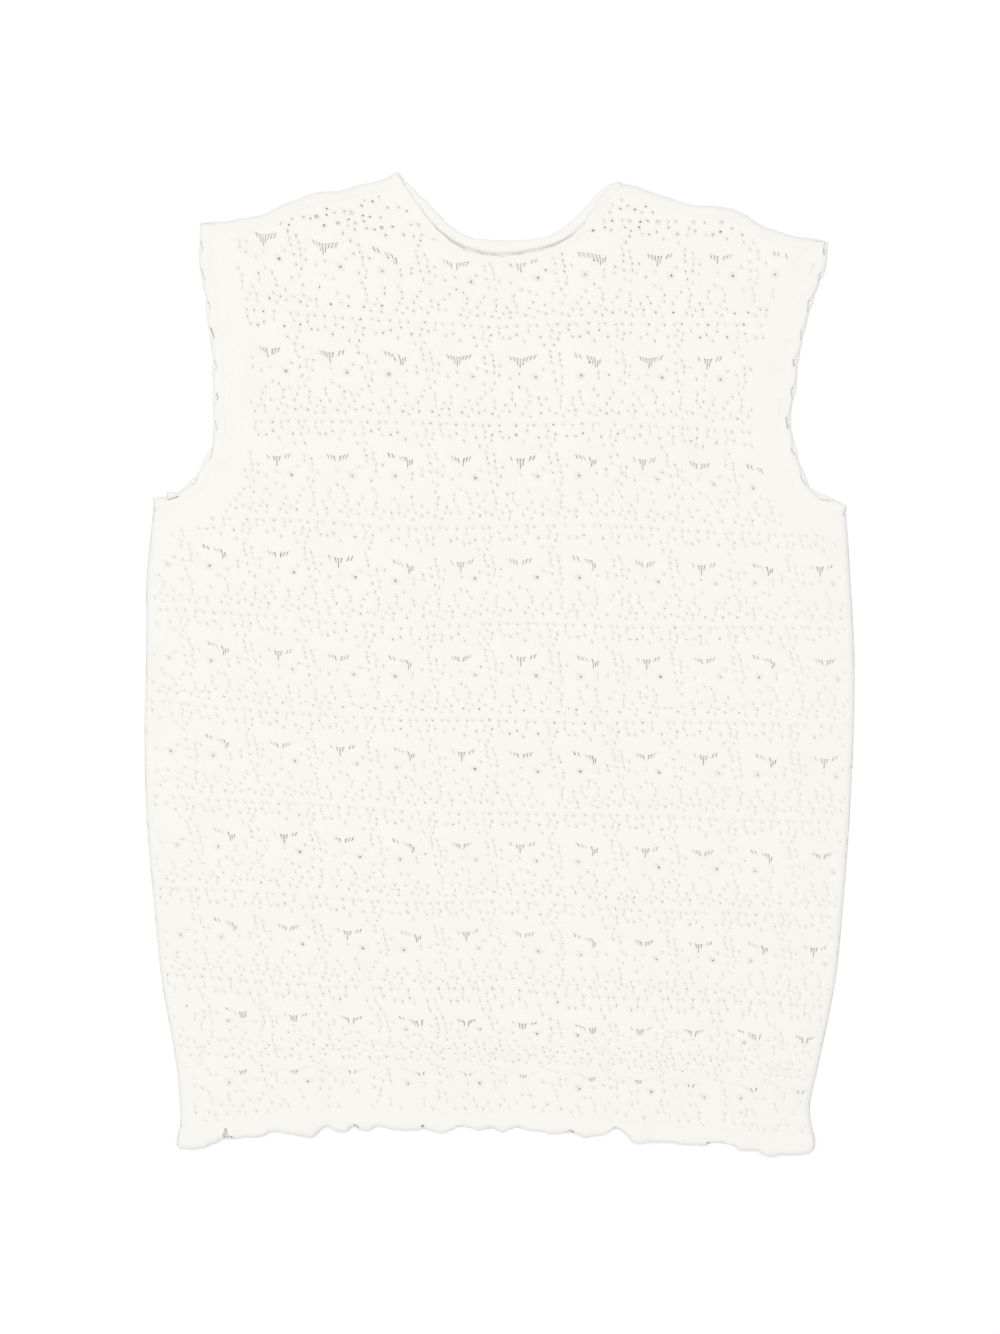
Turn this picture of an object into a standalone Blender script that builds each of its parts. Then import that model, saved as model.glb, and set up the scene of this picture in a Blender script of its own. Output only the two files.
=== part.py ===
"""Openwork knitted vest, laid flat with its front up.

The tables are in millimetres and the meshes in metres. +X is to the right as
the vest lies, +Y runs towards the neck and +Z up from the surface it rests on.
Every piece is a knitted wall: the back lies on the surface, the front lies on
the back and turns down round it at the side seams.
"""

import math

import bpy
from mathutils import Vector
from mathutils.geometry import delaunay_2d_cdt

MM = 0.001

# Thickness of one knitted layer, the gap between pieces that meet, and the
# height of the front's underside where it lies on the back.
LAYER = 2.0
GAP = 0.3
FRONT_BASE = LAYER + GAP

# Widths of the edgings and of the rolled shoulder seam.
ARMHOLE_TRIM = 6.0
NECK_TRIM = 5.5
HEM_TRIM = 10.0
SHOULDER_SEAM = 8.0

# Scallops: length of one along the edge, and how far it stands out.
ARMHOLE_SCALLOP, ARMHOLE_LOBE = 20.5, 1.2
NECK_SCALLOP, NECK_LOBE = 6.2, 0.5
HEM_SCALLOP, HEM_LOBE = 19.0, 2.4
# Share of a scallop that comes before the start of the front and back stretch.
ARMHOLE_PHASES = (0.15, 0.55)
NECK_PHASES = (0.25, 0.25)
HEM_PHASES = (0.3, 0.75)

# Section of an edging: where its crest stands between its inner and its outer
# line, the shares of the full height at those two lines, and how far the
# crest of one on the front stands over the panel.
CREST_PLACE = 0.45
OUTER_SHARE, INNER_SHARE = 0.6, 0.85
FRONT_CROWN = 0.4

# The back's armhole edge shows past the front's, most at the underarm: how far
# everywhere, how far more at the underarm, and the length over which that fades.
PEEK, UNDERARM_PEEK, PEEK_FADE = 0.8, 2.4, 35.0

# The front's turn at a side seam: how far in from the edge its underside
# leaves the surface and reaches the back's height, and the height of its
# outer face at the edge and at each crease.
TURN_FOOT, TURN_END = 2.4, 5.0
TURN_CREASES = (1.2, TURN_FOOT, TURN_END)
TURN_HEIGHTS = (1.3, 2.9, 3.6, FRONT_BASE + LAYER)
BACK_INSET = TURN_END + GAP

# How far the back's edgings end short of the side edges, and the shoulder
# seams short of the edgings beside them.
ARMHOLE_BACK_END = BACK_INSET + 4.0
HEM_BACK_END = BACK_INSET + 6.0
SEAM_END = 2.0

# Side edges, hem to underarm.
SIDES = (
    # y, left x, right x
    (-326.0, -219.5, 216.0),
    (-310.0, -218.2, 212.8),
    (-296.4, -218.9, 212.8),
    (-269.1, -221.6, 218.9),
    (-214.5, -231.2, 229.8),
    (-159.8, -236.7, 235.3),
    (-105.2, -241.4, 239.4),
    (-50.5, -242.8, 242.1),
    (4.1, -241.8, 242.8),
    (58.7, -241.4, 240.1),
    (102.5, -237.3, 237.3),
    (112.0, -236.5, 236.8),
)

# Free edges of the edgings and the shoulders, each in the order in which a
# counter-clockwise walk round the vest meets it.
HEM = (
    # x, y
    (-220.5, -327.0),
    (-187.0, -322.0),
    (-154.0, -317.5),
    (-118.0, -314.5),
    (-82.0, -314.5),
    (-34.0, -316.0),
    (2.0, -316.5),
    (49.0, -318.5),
    (91.0, -321.5),
    (137.0, -326.0),
    (176.0, -330.0),
    (214.5, -332.0),
)
ARMHOLE_RIGHT = (
    # x, y
    (236.6, 108.5),
    (225.0, 112.5),
    (214.5, 117.0),
    (208.5, 125.0),
    (202.9, 140.0),
    (198.4, 155.0),
    (197.4, 171.4),
    (200.5, 190.0),
    (202.8, 212.4),
    (208.8, 236.3),
    (214.1, 256.8),
    (221.5, 273.2),
    (222.6, 290.0),
)
SHOULDER_RIGHT = (
    # x, y
    (222.6, 290.3),
    (195.7, 295.7),
    (179.3, 301.9),
    (162.9, 311.0),
    (154.7, 313.6),
    (138.3, 314.9),
    (121.9, 318.3),
    (105.5, 323.7),
    (81.0, 331.5),
)
NECK_FRONT = (
    # x, y
    (81.0, 331.3),
    (70.7, 321.7),
    (63.2, 310.1),
    (55.0, 299.2),
    (43.4, 290.3),
    (30.4, 285.2),
    (14.7, 282.0),
    (0.3, 280.6),
    (-14.0, 282.4),
    (-24.9, 285.8),
    (-35.2, 292.3),
    (-46.8, 303.3),
    (-62.5, 325.1),
    (-70.0, 337.4),
)
NECK_BACK = (
    # x, y
    (81.0, 331.3),
    (72.7, 327.2),
    (64.5, 320.2),
    (56.3, 310.8),
    (48.2, 303.2),
    (40.0, 297.0),
    (31.8, 293.4),
    (15.4, 291.2),
    (-1.0, 291.0),
    (-17.4, 292.5),
    (-25.6, 295.4),
    (-33.8, 300.6),
    (-42.0, 309.0),
    (-50.2, 317.4),
    (-58.4, 325.1),
    (-70.0, 337.4),
)
SHOULDER_LEFT = (
    # x, y
    (-70.0, 337.6),
    (-78.2, 333.0),
    (-91.2, 330.3),
    (-107.6, 326.0),
    (-124.0, 323.7),
    (-140.4, 318.6),
    (-156.8, 311.4),
    (-173.1, 306.4),
    (-202.5, 302.6),
)
ARMHOLE_LEFT = (
    # x, y
    (-202.5, 302.4),
    (-203.6, 275.0),
    (-199.1, 250.0),
    (-197.0, 229.5),
    (-194.3, 205.6),
    (-194.0, 181.7),
    (-194.3, 156.0),
    (-198.2, 142.0),
    (-207.5, 126.8),
    (-218.0, 117.5),
    (-227.0, 115.0),
    (-236.4, 113.6),
)

# One row for each band of lace: where its open V ladders stand, at five
# columns across the vest. Columns a to d hold the skewed ladders and mid lies
# halfway between b and c.
LACE_X = (
    # a, b, mid, c, d
    (-203.2, -76.2, -6.5, 65.9, 197.0),
    (-197.7, -70.7, -5.8, 61.8, 184.8),
    (-193.0, -66.6, -5.1, 59.1, 178.6),
    (-193.0, -65.2, -5.1, 61.1, 180.0),
    (-191.6, -65.2, -5.1, 60.4, 182.7),
    (-190.9, -65.2, -5.1, 61.1, 182.7),
    (-187.5, -62.5, -5.1, 60.4, 180.7),
    (-184.8, -60.4, -3.1, 60.4, 177.2),
    (-180.0, -58.4, -2.4, 59.8, 171.8),
)
LACE_Y = (
    # a, b, mid, c, d
    (299.2, 283.4, 274.6, 280.7, 280.0),
    (218.6, 212.4, 209.7, 211.7, 207.6),
    (144.1, 142.1, 142.1, 142.7, 134.6),
    (79.9, 70.3, 71.7, 71.7, 68.3),
    (13.7, 4.1, 6.1, 5.5, 4.1),
    (-49.2, -58.7, -58.7, -60.8, -62.2),
    (-112.7, -120.9, -120.9, -123.6, -127.7),
    (-175.5, -182.4, -181.7, -185.8, -191.2),
    (-235.6, -243.1, -242.5, -246.6, -252.0),
)
# Where the tables' five columns stand, counted in skewed ladders from the
# left, the ladders that follow each skewed one, as a share of the way to the
# next, and the ladders in a band.
COLUMN_PLACES = (0.0, 1.0, 1.5, 2.0, 3.0)
LADDERS_ON = (0.0, 0.31, 0.64)
LADDERS = 11
# A welt, the plain raised ridge between two bands, lies this share of the way
# from one row of ladders to the next.
WELT_SHARE = 0.63
WELT_HALF_WIDTH, WELT_HEIGHT = 2.6, 0.9
# How far each welt runs on past its outer ladders, the step between the points
# along it, and how near a point lies to its middle line to count as on it.
WELT_REACH, WELT_STEP, WELT_NEAR = 45.0, 22.0, 0.2

# The V gap of a ladder and the round eyelet below it, as polygons of offsets.
LADDER_GAP = ((-8.0, 1.0), (-3.0, -2.2), (0.0, -5.6), (3.0, -2.2), (8.0, 1.0), (0.0, 1.6))
EYELET_PLACE, EYELET_RADIUS, EYELET_CORNERS = (10.0, -12.2), 2.6, 4
# Least distance from a hole to its panel's edge, and the most that a hole
# reaches from its first corner.
HOLE_MARGIN, HOLE_REACH = 7.5, 25.0

# Soft lift of the front over the back: the crest's place, its half lengths
# along and across, its turn in degrees and its height.
LIFTS = (
    # x, y, along, across, turn, height
    (-118.0, 250.0, 70.0, 30.0, 18.0, 1.1),
    (135.0, 245.0, 75.0, 28.0, -24.0, 1.3),
    (-20.0, 150.0, 120.0, 34.0, 4.0, 0.8),
    (-140.0, 60.0, 80.0, 26.0, -12.0, 1.2),
    (150.0, 40.0, 70.0, 30.0, 15.0, 1.0),
    (20.0, -40.0, 110.0, 30.0, -5.0, 0.9),
    (-110.0, -130.0, 90.0, 26.0, 8.0, 1.2),
    (120.0, -165.0, 80.0, 24.0, -14.0, 1.3),
    (-60.0, -255.0, 90.0, 18.0, 3.0, 1.0),
    (130.0, -275.0, 50.0, 16.0, -6.0, 1.1),
)
# How steeply a lift falls off, and the width along the front's edges over
# which all lifts fade out.
LIFT_FALL, LIFT_FADE = 1.5, 30.0

# Points of a wide grid on the front that carry its lifts, and how clear of the
# edge and of the holes its points and creases stay.
GRID_STEP = 36.0
GRID_COLUMNS = [-214.0 + GRID_STEP * k for k in range(13)]
GRID_ROWS = [-297.0 + GRID_STEP * k for k in range(17)]
EDGE_CLEAR, HOLE_CLEAR = 0.9, 1.0

# Steps between the points of the outlines.
SIDE_STEP = 14.0
SHOULDER_STEP = 12.0
ARMHOLE_STEP = ARMHOLE_SCALLOP / 3
HEM_STEPS = 4  # points of the hem's line in one scallop

# How far lines are carried on to cross at a corner, the least area of two
# directions that cross, and the distance within which points are one.
CORNER_REACH, PARALLEL, WELD = 30.0, 1e-9, 1e-5
CREASE_ANGLE = 40.0

KNIT_COLOUR = (0.93, 0.925, 0.885, 1.0)
EDGING_COLOUR = (0.945, 0.94, 0.905, 1.0)
YARN_ROUGHNESS = 0.92


def smooth_curve(points, step):
    """Points about step apart on a smooth curve through the given ones."""
    knots = [Vector(point) for point in points]
    before = 2 * knots[0] - knots[1]
    after = 2 * knots[-1] - knots[-2]
    knots = [before, *knots, after]
    found = [knots[1]]
    for p, q, r, s in zip(knots, knots[1:], knots[2:], knots[3:]):
        pieces = max(1, round((r - q).length / step))
        for k in range(1, pieces + 1):
            t = k / pieces
            straight = 2 * q + (r - p) * t
            bend = (2 * p - 5 * q + 4 * r - s) * t**2 + (3 * q - p - 3 * r + s) * t**3
            found.append((straight + bend) / 2)
    return found


def normals(points):
    """Unit normals of a line, to the left of its direction."""
    found = []
    for before, after in zip([points[0], *points], [*points[1:], points[-1]]):
        way = (after - before).normalized()
        found.append(Vector((-way.y, way.x)))
    return found


def moved_in(points, distance):
    """The line moved to its left, which is into the vest."""
    return [point + distance * n for point, n in zip(points, normals(points))]


def lengths(points):
    """Length of the line up to each of its points."""
    found = [0.0]
    for before, after in zip(points, points[1:]):
        found.append(found[-1] + (after - before).length)
    return found


def cut_ends(points, first, last):
    """The line without that much length at its start and its end."""
    along = lengths(points)
    span = (first, along[-1] - last)
    inner = [point for point, s in zip(points, along) if span[0] < s < span[1]]
    ends = []
    for target in span:
        for k, s in enumerate(along[1:]):
            if s >= target:
                share = (target - along[k]) / (s - along[k])
                ends.append(points[k].lerp(points[k + 1], share))
                break
    return [ends[0], *inner, ends[1]]


def reach_out(points, reach):
    """The line with each end carried straight on."""
    start = points[0] + reach * (points[0] - points[1]).normalized()
    end = points[-1] + reach * (points[-1] - points[-2]).normalized()
    return [start, *points, end]


def crossing(a, b, c, d):
    """Where segment a b crosses c d, or None."""
    ab, cd, ac = b - a, d - c, c - a
    area = ab.x * cd.y - ab.y * cd.x
    if abs(area) < PARALLEL:
        return None
    t = (ac.x * cd.y - ac.y * cd.x) / area
    u = (ac.x * ab.y - ac.y * ab.x) / area
    if 0 <= t <= 1 and 0 <= u <= 1:
        return a + t * ab
    return None


def joined(lines):
    """One closed outline of lines that cross at their ends."""
    lines = [reach_out(line, CORNER_REACH) for line in lines]
    for k in range(len(lines)):
        first = lines[k]
        second = lines[(k + 1) % len(lines)]
        corner = None
        for i in range(len(first) - 1, 0, -1):
            for j in range(len(second) - 1):
                corner = crossing(first[i - 1], first[i], second[j], second[j + 1])
                if corner:
                    break
            if corner:
                break
        lines[k] = [*first[:i], corner]
        lines[(k + 1) % len(lines)] = [corner, *second[j + 1 :]]
    outline = []
    for line in lines:
        outline += line[:-1]
    return outline


def inside(point, outline):
    """Whether the point lies inside the closed outline."""
    found = False
    for a, b in zip(outline, outline[1:] + outline[:1]):
        if (a.y > point.y) != (b.y > point.y):
            if point.x < a.x + (point.y - a.y) / (b.y - a.y) * (b.x - a.x):
                found = not found
    return found


def clearance(point, outline):
    """Distance from the point to the closed outline."""
    nearest = math.inf
    for a, b in zip(outline, outline[1:] + outline[:1]):
        ab = b - a
        share = min(1.0, max(0.0, (point - a).dot(ab) / ab.length_squared))
        nearest = min(nearest, (point - a - share * ab).length)
    return nearest


def between(value, places, values):
    """Straight interpolation in rising places, carried on past the ends."""
    k = 0
    while k < len(places) - 2 and value > places[k + 1]:
        k += 1
    share = (value - places[k]) / (places[k + 1] - places[k])
    return values[k] + share * (values[k + 1] - values[k])


SIDE_ROWS_LEFT = smooth_curve([(left, y) for y, left, _ in SIDES], SIDE_STEP)
SIDE_ROWS_RIGHT = smooth_curve([(right, y) for y, _, right in SIDES], SIDE_STEP)


def from_side(point):
    """How far the point lies in from the nearer side seam."""
    left = between(point.y, [p.y for p in SIDE_ROWS_LEFT], [p.x for p in SIDE_ROWS_LEFT])
    right = between(point.y, [p.y for p in SIDE_ROWS_RIGHT], [p.x for p in SIDE_ROWS_RIGHT])
    if point.y > SIDES[-1][0] + ARMHOLE_TRIM:
        return math.inf
    return max(0.0, min(point.x - left, right - point.x))


def lift(point):
    """Height by which the front stands off the back."""
    found = 0.0
    for x, y, along, across, turn, height in LIFTS:
        away = point - Vector((x, y))
        c, s = math.cos(math.radians(turn)), math.sin(math.radians(turn))
        u = (away.x * c + away.y * s) / along
        v = (away.y * c - away.x * s) / across
        found += height * math.exp(-LIFT_FALL * (u * u + v * v))
    return found


def front_under(point):
    """Underside of the front: on the back, and on the surface at the side seams."""
    rise = (from_side(point) - TURN_FOOT) / (TURN_END - TURN_FOOT)
    return FRONT_BASE * min(1.0, max(0.0, rise))


def front_over(point):
    """Outer face of the front, rounded down at the side seams."""
    d = from_side(point)
    if d >= TURN_END:
        return FRONT_BASE + LAYER
    return between(d, (0.0, *TURN_CREASES), TURN_HEIGHTS)


def back_under(_):
    """Underside of the back, flat on the surface."""
    return 0.0


def back_over(_):
    """Upper face of the back."""
    return LAYER


def lace_rows(table):
    """For each band, the values of the table at its ladders, from left to right."""
    steps = range(math.ceil(LADDERS / len(LADDERS_ON)))
    places = [step + on for step in steps for on in LADDERS_ON][:LADDERS]
    for row in table:
        yield [between(place, COLUMN_PLACES, row) for place in places]


def ladder_places():
    """The middle of every V ladder, band by band."""
    found = []
    for xs, ys in zip(lace_rows(LACE_X), lace_rows(LACE_Y)):
        found.append([Vector(place) for place in zip(xs, ys)])
    return found


def lace_holes(outline, with_eyelets):
    """Polygons of the open gaps that lie well inside the outline."""
    holes = []
    for band in ladder_places():
        for place in band:
            gap = [place + Vector(corner) for corner in LADDER_GAP]
            centre = place + Vector(EYELET_PLACE)
            eyelet = []
            for k in range(EYELET_CORNERS):
                angle = math.tau * k / EYELET_CORNERS
                way = Vector((math.cos(angle), math.sin(angle)))
                eyelet.append(centre + EYELET_RADIUS * way)
            for hole in [gap, eyelet] if with_eyelets else [gap]:
                fits = all(inside(corner, outline) for corner in hole)
                if fits and min(clearance(corner, outline) for corner in hole) > HOLE_MARGIN:
                    holes.append(hole)
    return holes


def welt_lines():
    """The welts' middle lines, from left to right."""
    bands = ladder_places()
    found = []
    for above, below in zip(bands, bands[1:]):
        line = [high.lerp(low, WELT_SHARE) for high, low in zip(above, below)]
        found.append(reach_out(line, WELT_REACH))
    return found


def mesh_object(name, points, faces, colour):
    """A closed piece of knitting with its own material."""
    mesh = bpy.data.meshes.new(name)
    mesh.from_pydata([tuple(MM * value for value in point) for point in points], [], faces)
    mesh.shade_smooth()
    mesh.set_sharp_from_angle(angle=math.radians(CREASE_ANGLE))
    material = bpy.data.materials.new(name)
    material.use_nodes = True
    shader = material.node_tree.nodes["Principled BSDF"]
    shader.inputs["Base Color"].default_value = colour
    shader.inputs["Roughness"].default_value = YARN_ROUGHNESS
    shader.inputs["Metallic"].default_value = 0.0
    mesh.materials.append(material)
    piece = bpy.data.objects.new(name, mesh)
    bpy.context.scene.collection.objects.link(piece)
    return piece


def panel(name, outline, holes, creases, under, over, raised):
    """A knitted panel: a wall between two height functions, cut by its holes."""
    flat = []
    edges = []
    for loop in [outline, *holes]:
        start = len(flat)
        flat += loop
        edges += [(start + k, start + (k + 1) % len(loop)) for k in range(len(loop))]
    for line in creases:
        start = len(flat)
        flat += line
        edges += [(start + k, start + k + 1) for k in range(len(line) - 1)]
    points, _, triangles, _, _, _ = delaunay_2d_cdt(flat, edges, [], 0, WELD)
    kept = []
    for triangle in triangles:
        centre = sum((points[k] for k in triangle), Vector((0.0, 0.0))) / 3
        if not inside(centre, outline):
            continue
        near = [hole for hole in holes if (hole[0] - centre).length < HOLE_REACH]
        if not any(inside(centre, hole) for hole in near):
            kept.append(triangle)
    count = len(points)
    solid = [(p.x, p.y, under(p) + lift_of(p, under)) for p in points]
    solid += [(p.x, p.y, over(p) + lift_of(p, under) + raised(p)) for p in points]
    faces = []
    rim = {}
    for a, b, c in kept:
        faces.append((a + count, b + count, c + count))
        faces.append((c, b, a))
        for edge in ((a, b), (b, c), (c, a)):
            if (edge[1], edge[0]) in rim:
                del rim[edge[1], edge[0]]
            else:
                rim[edge] = True
    for a, b in rim:
        faces.append((a, b, b + count, a + count))
    used = sorted({k for face in faces for k in face})
    renumbered = {k: n for n, k in enumerate(used)}
    faces = [tuple(renumbered[k] for k in face) for face in faces]
    return mesh_object(name, [solid[k] for k in used], faces, KNIT_COLOUR)


def lift_of(point, under):
    """The front's lift, which fades out towards its edges; the back has none."""
    if under is back_under:
        return 0.0
    fade = min(1.0, clearance(point, FRONT_OUTLINE) / LIFT_FADE)
    return lift(point) * fade * fade


def no_relief(_):
    """Height of the ridges on a face that has none."""
    return 0.0


def welt_relief(point):
    """Height of a welt's ridge over the panel at this point."""
    for line in WELTS:
        xs = [p.x for p in line]
        if xs[0] <= point.x <= xs[-1]:
            if abs(between(point.x, xs, [p.y for p in line]) - point.y) < WELT_NEAR:
                return WELT_HEIGHT
    return 0.0


def strip(name, inner, outer, under, over, colour):
    """An edging: a narrow wall between two lines, thickest along its middle."""
    crown = 0.0 if over is back_over else FRONT_CROWN
    sections = []
    for a, b in zip(inner, outer):
        middle = a.lerp(b, CREST_PLACE)
        section = [(p, under(p)) for p in (a, middle, b)]
        section.append((b, under(b) + OUTER_SHARE * (over(b) - under(b))))
        section.append((middle, over(middle) + crown))
        section.append((a, under(a) + INNER_SHARE * (over(a) - under(a))))
        sections.append(section)
    count = len(sections[0])
    points = [(p.x, p.y, z) for section in sections for p, z in section]
    faces = []
    for k in range(len(sections) - 1):
        for m in range(count):
            n = (m + 1) % count
            a, b = k * count, (k + 1) * count
            faces.append((a + m, b + m, b + n, a + n))
    last = (len(sections) - 1) * count
    faces.append(tuple(range(count)))
    faces.append(tuple(last + m for m in range(count - 1, -1, -1)))
    return mesh_object(name, points, faces, colour)


def scalloped(edge, pitch, lobe, phase):
    """The edge's outer line: rounded lobes with a notch between each two."""
    found = []
    for point, n, s in zip(edge, normals(edge), lengths(edge)):
        wave = abs(math.sin(math.pi * (s / pitch + phase)))
        found.append(point - n * lobe * wave)
    return found


def edging(name, edge, width, wave, under, over):
    """A scalloped edging along a free edge; wave is its pitch, lobe and phase."""
    outer = scalloped(edge, *wave)
    return strip(name, moved_in(edge, width), outer, under, over, EDGING_COLOUR)


def armhole_peek(edge, at_start):
    """The line of the back's armhole edge, which shows past the front's."""
    along = lengths(edge)
    found = []
    for point, n, s in zip(edge, normals(edge), along):
        from_underarm = s if at_start else along[-1] - s
        peek = PEEK + UNDERARM_PEEK * math.exp(-from_underarm / PEEK_FADE)
        found.append(point - n * peek)
    return found


for old in list(bpy.data.objects):
    bpy.data.objects.remove(old, do_unlink=True)

hem = smooth_curve(HEM, HEM_SCALLOP / HEM_STEPS)
neck_front = smooth_curve(NECK_FRONT, NECK_SCALLOP)
neck_back = smooth_curve(NECK_BACK, NECK_SCALLOP)
armhole_right = smooth_curve(ARMHOLE_RIGHT, ARMHOLE_STEP)
armhole_left = smooth_curve(ARMHOLE_LEFT, ARMHOLE_STEP)
shoulder_right = smooth_curve(SHOULDER_RIGHT, SHOULDER_STEP)
shoulder_left = smooth_curve(SHOULDER_LEFT, SHOULDER_STEP)
side_left = list(reversed(SIDE_ROWS_LEFT))


def with_turn_points(outline):
    """The outline with a point wherever it crosses a crease of the side turns."""
    found = []
    for a, b in zip(outline, outline[1:] + outline[:1]):
        found.append(a)
        start, end = from_side(a), from_side(b)
        low, high = min(start, end), max(start, end)
        if low > 2 * TURN_END or math.isinf(high):
            continue
        for level in TURN_CREASES if start < end else reversed(TURN_CREASES):
            if low < level < high:
                found.append(a.lerp(b, (level - start) / (end - start)))
    return found


def panel_outline(neck, side_inset):
    """A panel's edge: the free edges moved in by the pieces sewn along them."""
    lines = [
        moved_in(hem, HEM_TRIM + GAP)[::HEM_STEPS],
        moved_in(SIDE_ROWS_RIGHT, side_inset),
        moved_in(armhole_right, ARMHOLE_TRIM + GAP),
        moved_in(shoulder_right, SHOULDER_SEAM + GAP),
        moved_in(neck, NECK_TRIM + GAP),
        moved_in(shoulder_left, SHOULDER_SEAM + GAP),
        moved_in(armhole_left, ARMHOLE_TRIM + GAP),
        moved_in(side_left, side_inset),
    ]
    return joined(lines)


FRONT_OUTLINE = with_turn_points(panel_outline(neck_front, 0.0))
BACK_OUTLINE = panel_outline(neck_back, BACK_INSET)
WELTS = welt_lines()

front_holes = lace_holes(FRONT_OUTLINE, True)
back_holes = lace_holes(BACK_OUTLINE, False)


def front_creases():
    """Lines of the front inside its edge: side turns, welts and a wide grid of points."""
    lines = []
    for side in (SIDE_ROWS_RIGHT, side_left):
        lines += [moved_in(side, distance) for distance in TURN_CREASES]
    for line in WELTS:
        ridge = smooth_curve(line, WELT_STEP)
        for offset in (-WELT_HALF_WIDTH, 0.0, WELT_HALF_WIDTH):
            lines.append([point + Vector((0.0, offset)) for point in ridge])
    for x in GRID_COLUMNS:
        for y in GRID_ROWS:
            lines.append([Vector((x, y))])
    kept = []
    for line in lines:
        run = []
        for point in line:
            near = [hole for hole in front_holes if (hole[0] - point).length < HOLE_REACH]
            if (
                inside(point, FRONT_OUTLINE)
                and clearance(point, FRONT_OUTLINE) > EDGE_CLEAR
                and all(clearance(point, hole) > HOLE_CLEAR for hole in near)
            ):
                run.append(point)
            elif run:
                kept.append(run)
                run = []
        if run:
            kept.append(run)
    return kept


panel(
    "front_panel",
    FRONT_OUTLINE,
    front_holes,
    front_creases(),
    front_under,
    front_over,
    welt_relief,
)
panel("back_panel", BACK_OUTLINE, back_holes, [], back_under, back_over, no_relief)

# Edgings. The front stretch of each lies on its back stretch.
front_wave, back_wave = [(2 * NECK_SCALLOP, NECK_LOBE, phase) for phase in NECK_PHASES]
edging("neck_edging_front", neck_front, NECK_TRIM, front_wave, front_under, front_over)
edging("neck_edging_back", neck_back, NECK_TRIM, back_wave, back_under, back_over)

front_wave, back_wave = [(ARMHOLE_SCALLOP, ARMHOLE_LOBE, phase) for phase in ARMHOLE_PHASES]
for side, edge, at_start in (("right", armhole_right, True), ("left", armhole_left, False)):
    name = f"armhole_edging_{side}"
    edging(f"{name}_front", edge, ARMHOLE_TRIM, front_wave, front_under, front_over)
    first, last = (ARMHOLE_BACK_END, 0.0) if at_start else (0.0, ARMHOLE_BACK_END)
    shown = cut_ends(armhole_peek(edge, at_start), first, last)
    edging(f"{name}_back", shown, ARMHOLE_TRIM, back_wave, back_under, back_over)

front_wave, back_wave = [(HEM_SCALLOP, HEM_LOBE, phase) for phase in HEM_PHASES]
edging("hem_edging_front", hem, HEM_TRIM, front_wave, front_under, front_over)
back_hem = cut_ends(hem, HEM_BACK_END, HEM_BACK_END)
edging("hem_edging_back", back_hem, HEM_TRIM, back_wave, back_under, back_over)

# Shoulder seams: front and back joined and rolled together, on the surface.
for side, edge in (("right", shoulder_right), ("left", shoulder_left)):
    first = ARMHOLE_TRIM if side == "right" else NECK_TRIM
    last = NECK_TRIM if side == "right" else ARMHOLE_TRIM
    seam = cut_ends(edge, first + SEAM_END, last + SEAM_END)
    strip(
        f"shoulder_seam_{side}",
        moved_in(seam, SHOULDER_SEAM),
        seam,
        back_under,
        front_over,
        KNIT_COLOUR,
    )

# The origin is the middle of the vest's box on the surface.
pieces = list(bpy.data.objects)
corners = [vertex.co for piece in pieces for vertex in piece.data.vertices]
middle = Vector(
    (
        (min(p.x for p in corners) + max(p.x for p in corners)) / 2,
        (min(p.y for p in corners) + max(p.y for p in corners)) / 2,
        min(p.z for p in corners),
    )
)
for piece in pieces:
    for vertex in piece.data.vertices:
        vertex.co -= middle
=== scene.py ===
"""An openwork knitted vest laid flat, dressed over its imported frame.

Tables and working sizes are in millimetres, and each finished mesh is in
metres, in the frame's own axes: +X to the right, +Y towards the neck and +Z up
from the surface that the vest lies on.
"""
import math

import bpy
import numpy as np
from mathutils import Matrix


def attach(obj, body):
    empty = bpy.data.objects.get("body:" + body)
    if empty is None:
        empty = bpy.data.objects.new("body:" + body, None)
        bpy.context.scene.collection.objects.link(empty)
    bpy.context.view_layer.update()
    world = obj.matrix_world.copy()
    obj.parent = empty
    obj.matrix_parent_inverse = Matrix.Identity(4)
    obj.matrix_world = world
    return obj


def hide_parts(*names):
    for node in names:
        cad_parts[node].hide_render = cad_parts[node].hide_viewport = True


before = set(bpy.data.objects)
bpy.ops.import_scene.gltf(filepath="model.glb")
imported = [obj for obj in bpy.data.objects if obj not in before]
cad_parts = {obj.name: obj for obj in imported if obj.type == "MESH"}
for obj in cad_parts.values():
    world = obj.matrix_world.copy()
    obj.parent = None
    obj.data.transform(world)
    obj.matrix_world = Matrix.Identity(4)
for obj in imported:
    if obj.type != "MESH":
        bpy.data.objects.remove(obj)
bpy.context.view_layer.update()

MM = 0.001

# ------------
# Camera: straight above the vest with its hem towards the bottom of the
# picture. One pixel of the photograph's 1000 x 1334 is 0.683 mm on the vest.
# ------------
PHOTO_HEIGHT = 1334
PIXEL = 0.683 * MM
LENS, SENSOR = 80.0, 36.0
VIEW_CENTRE = (0.24 * MM, -2.5 * MM, 4.0 * MM)

camera_data = bpy.data.cameras.new("camera")
camera_data.lens = LENS
camera_data.sensor_width = SENSOR
camera_data.clip_end = 20.0
camera = bpy.data.objects.new("camera", camera_data)
bpy.context.scene.collection.objects.link(camera)
camera_height = LENS / SENSOR * PHOTO_HEIGHT * PIXEL
camera.location = (VIEW_CENTRE[0], VIEW_CENTRE[1], VIEW_CENTRE[2] + camera_height)
bpy.context.scene.camera = camera

# ------------
# Floor and lights: a plain white surface, an even white surround and one wide
# soft light high above, a little to the left and towards the neck.
# ------------


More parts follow.
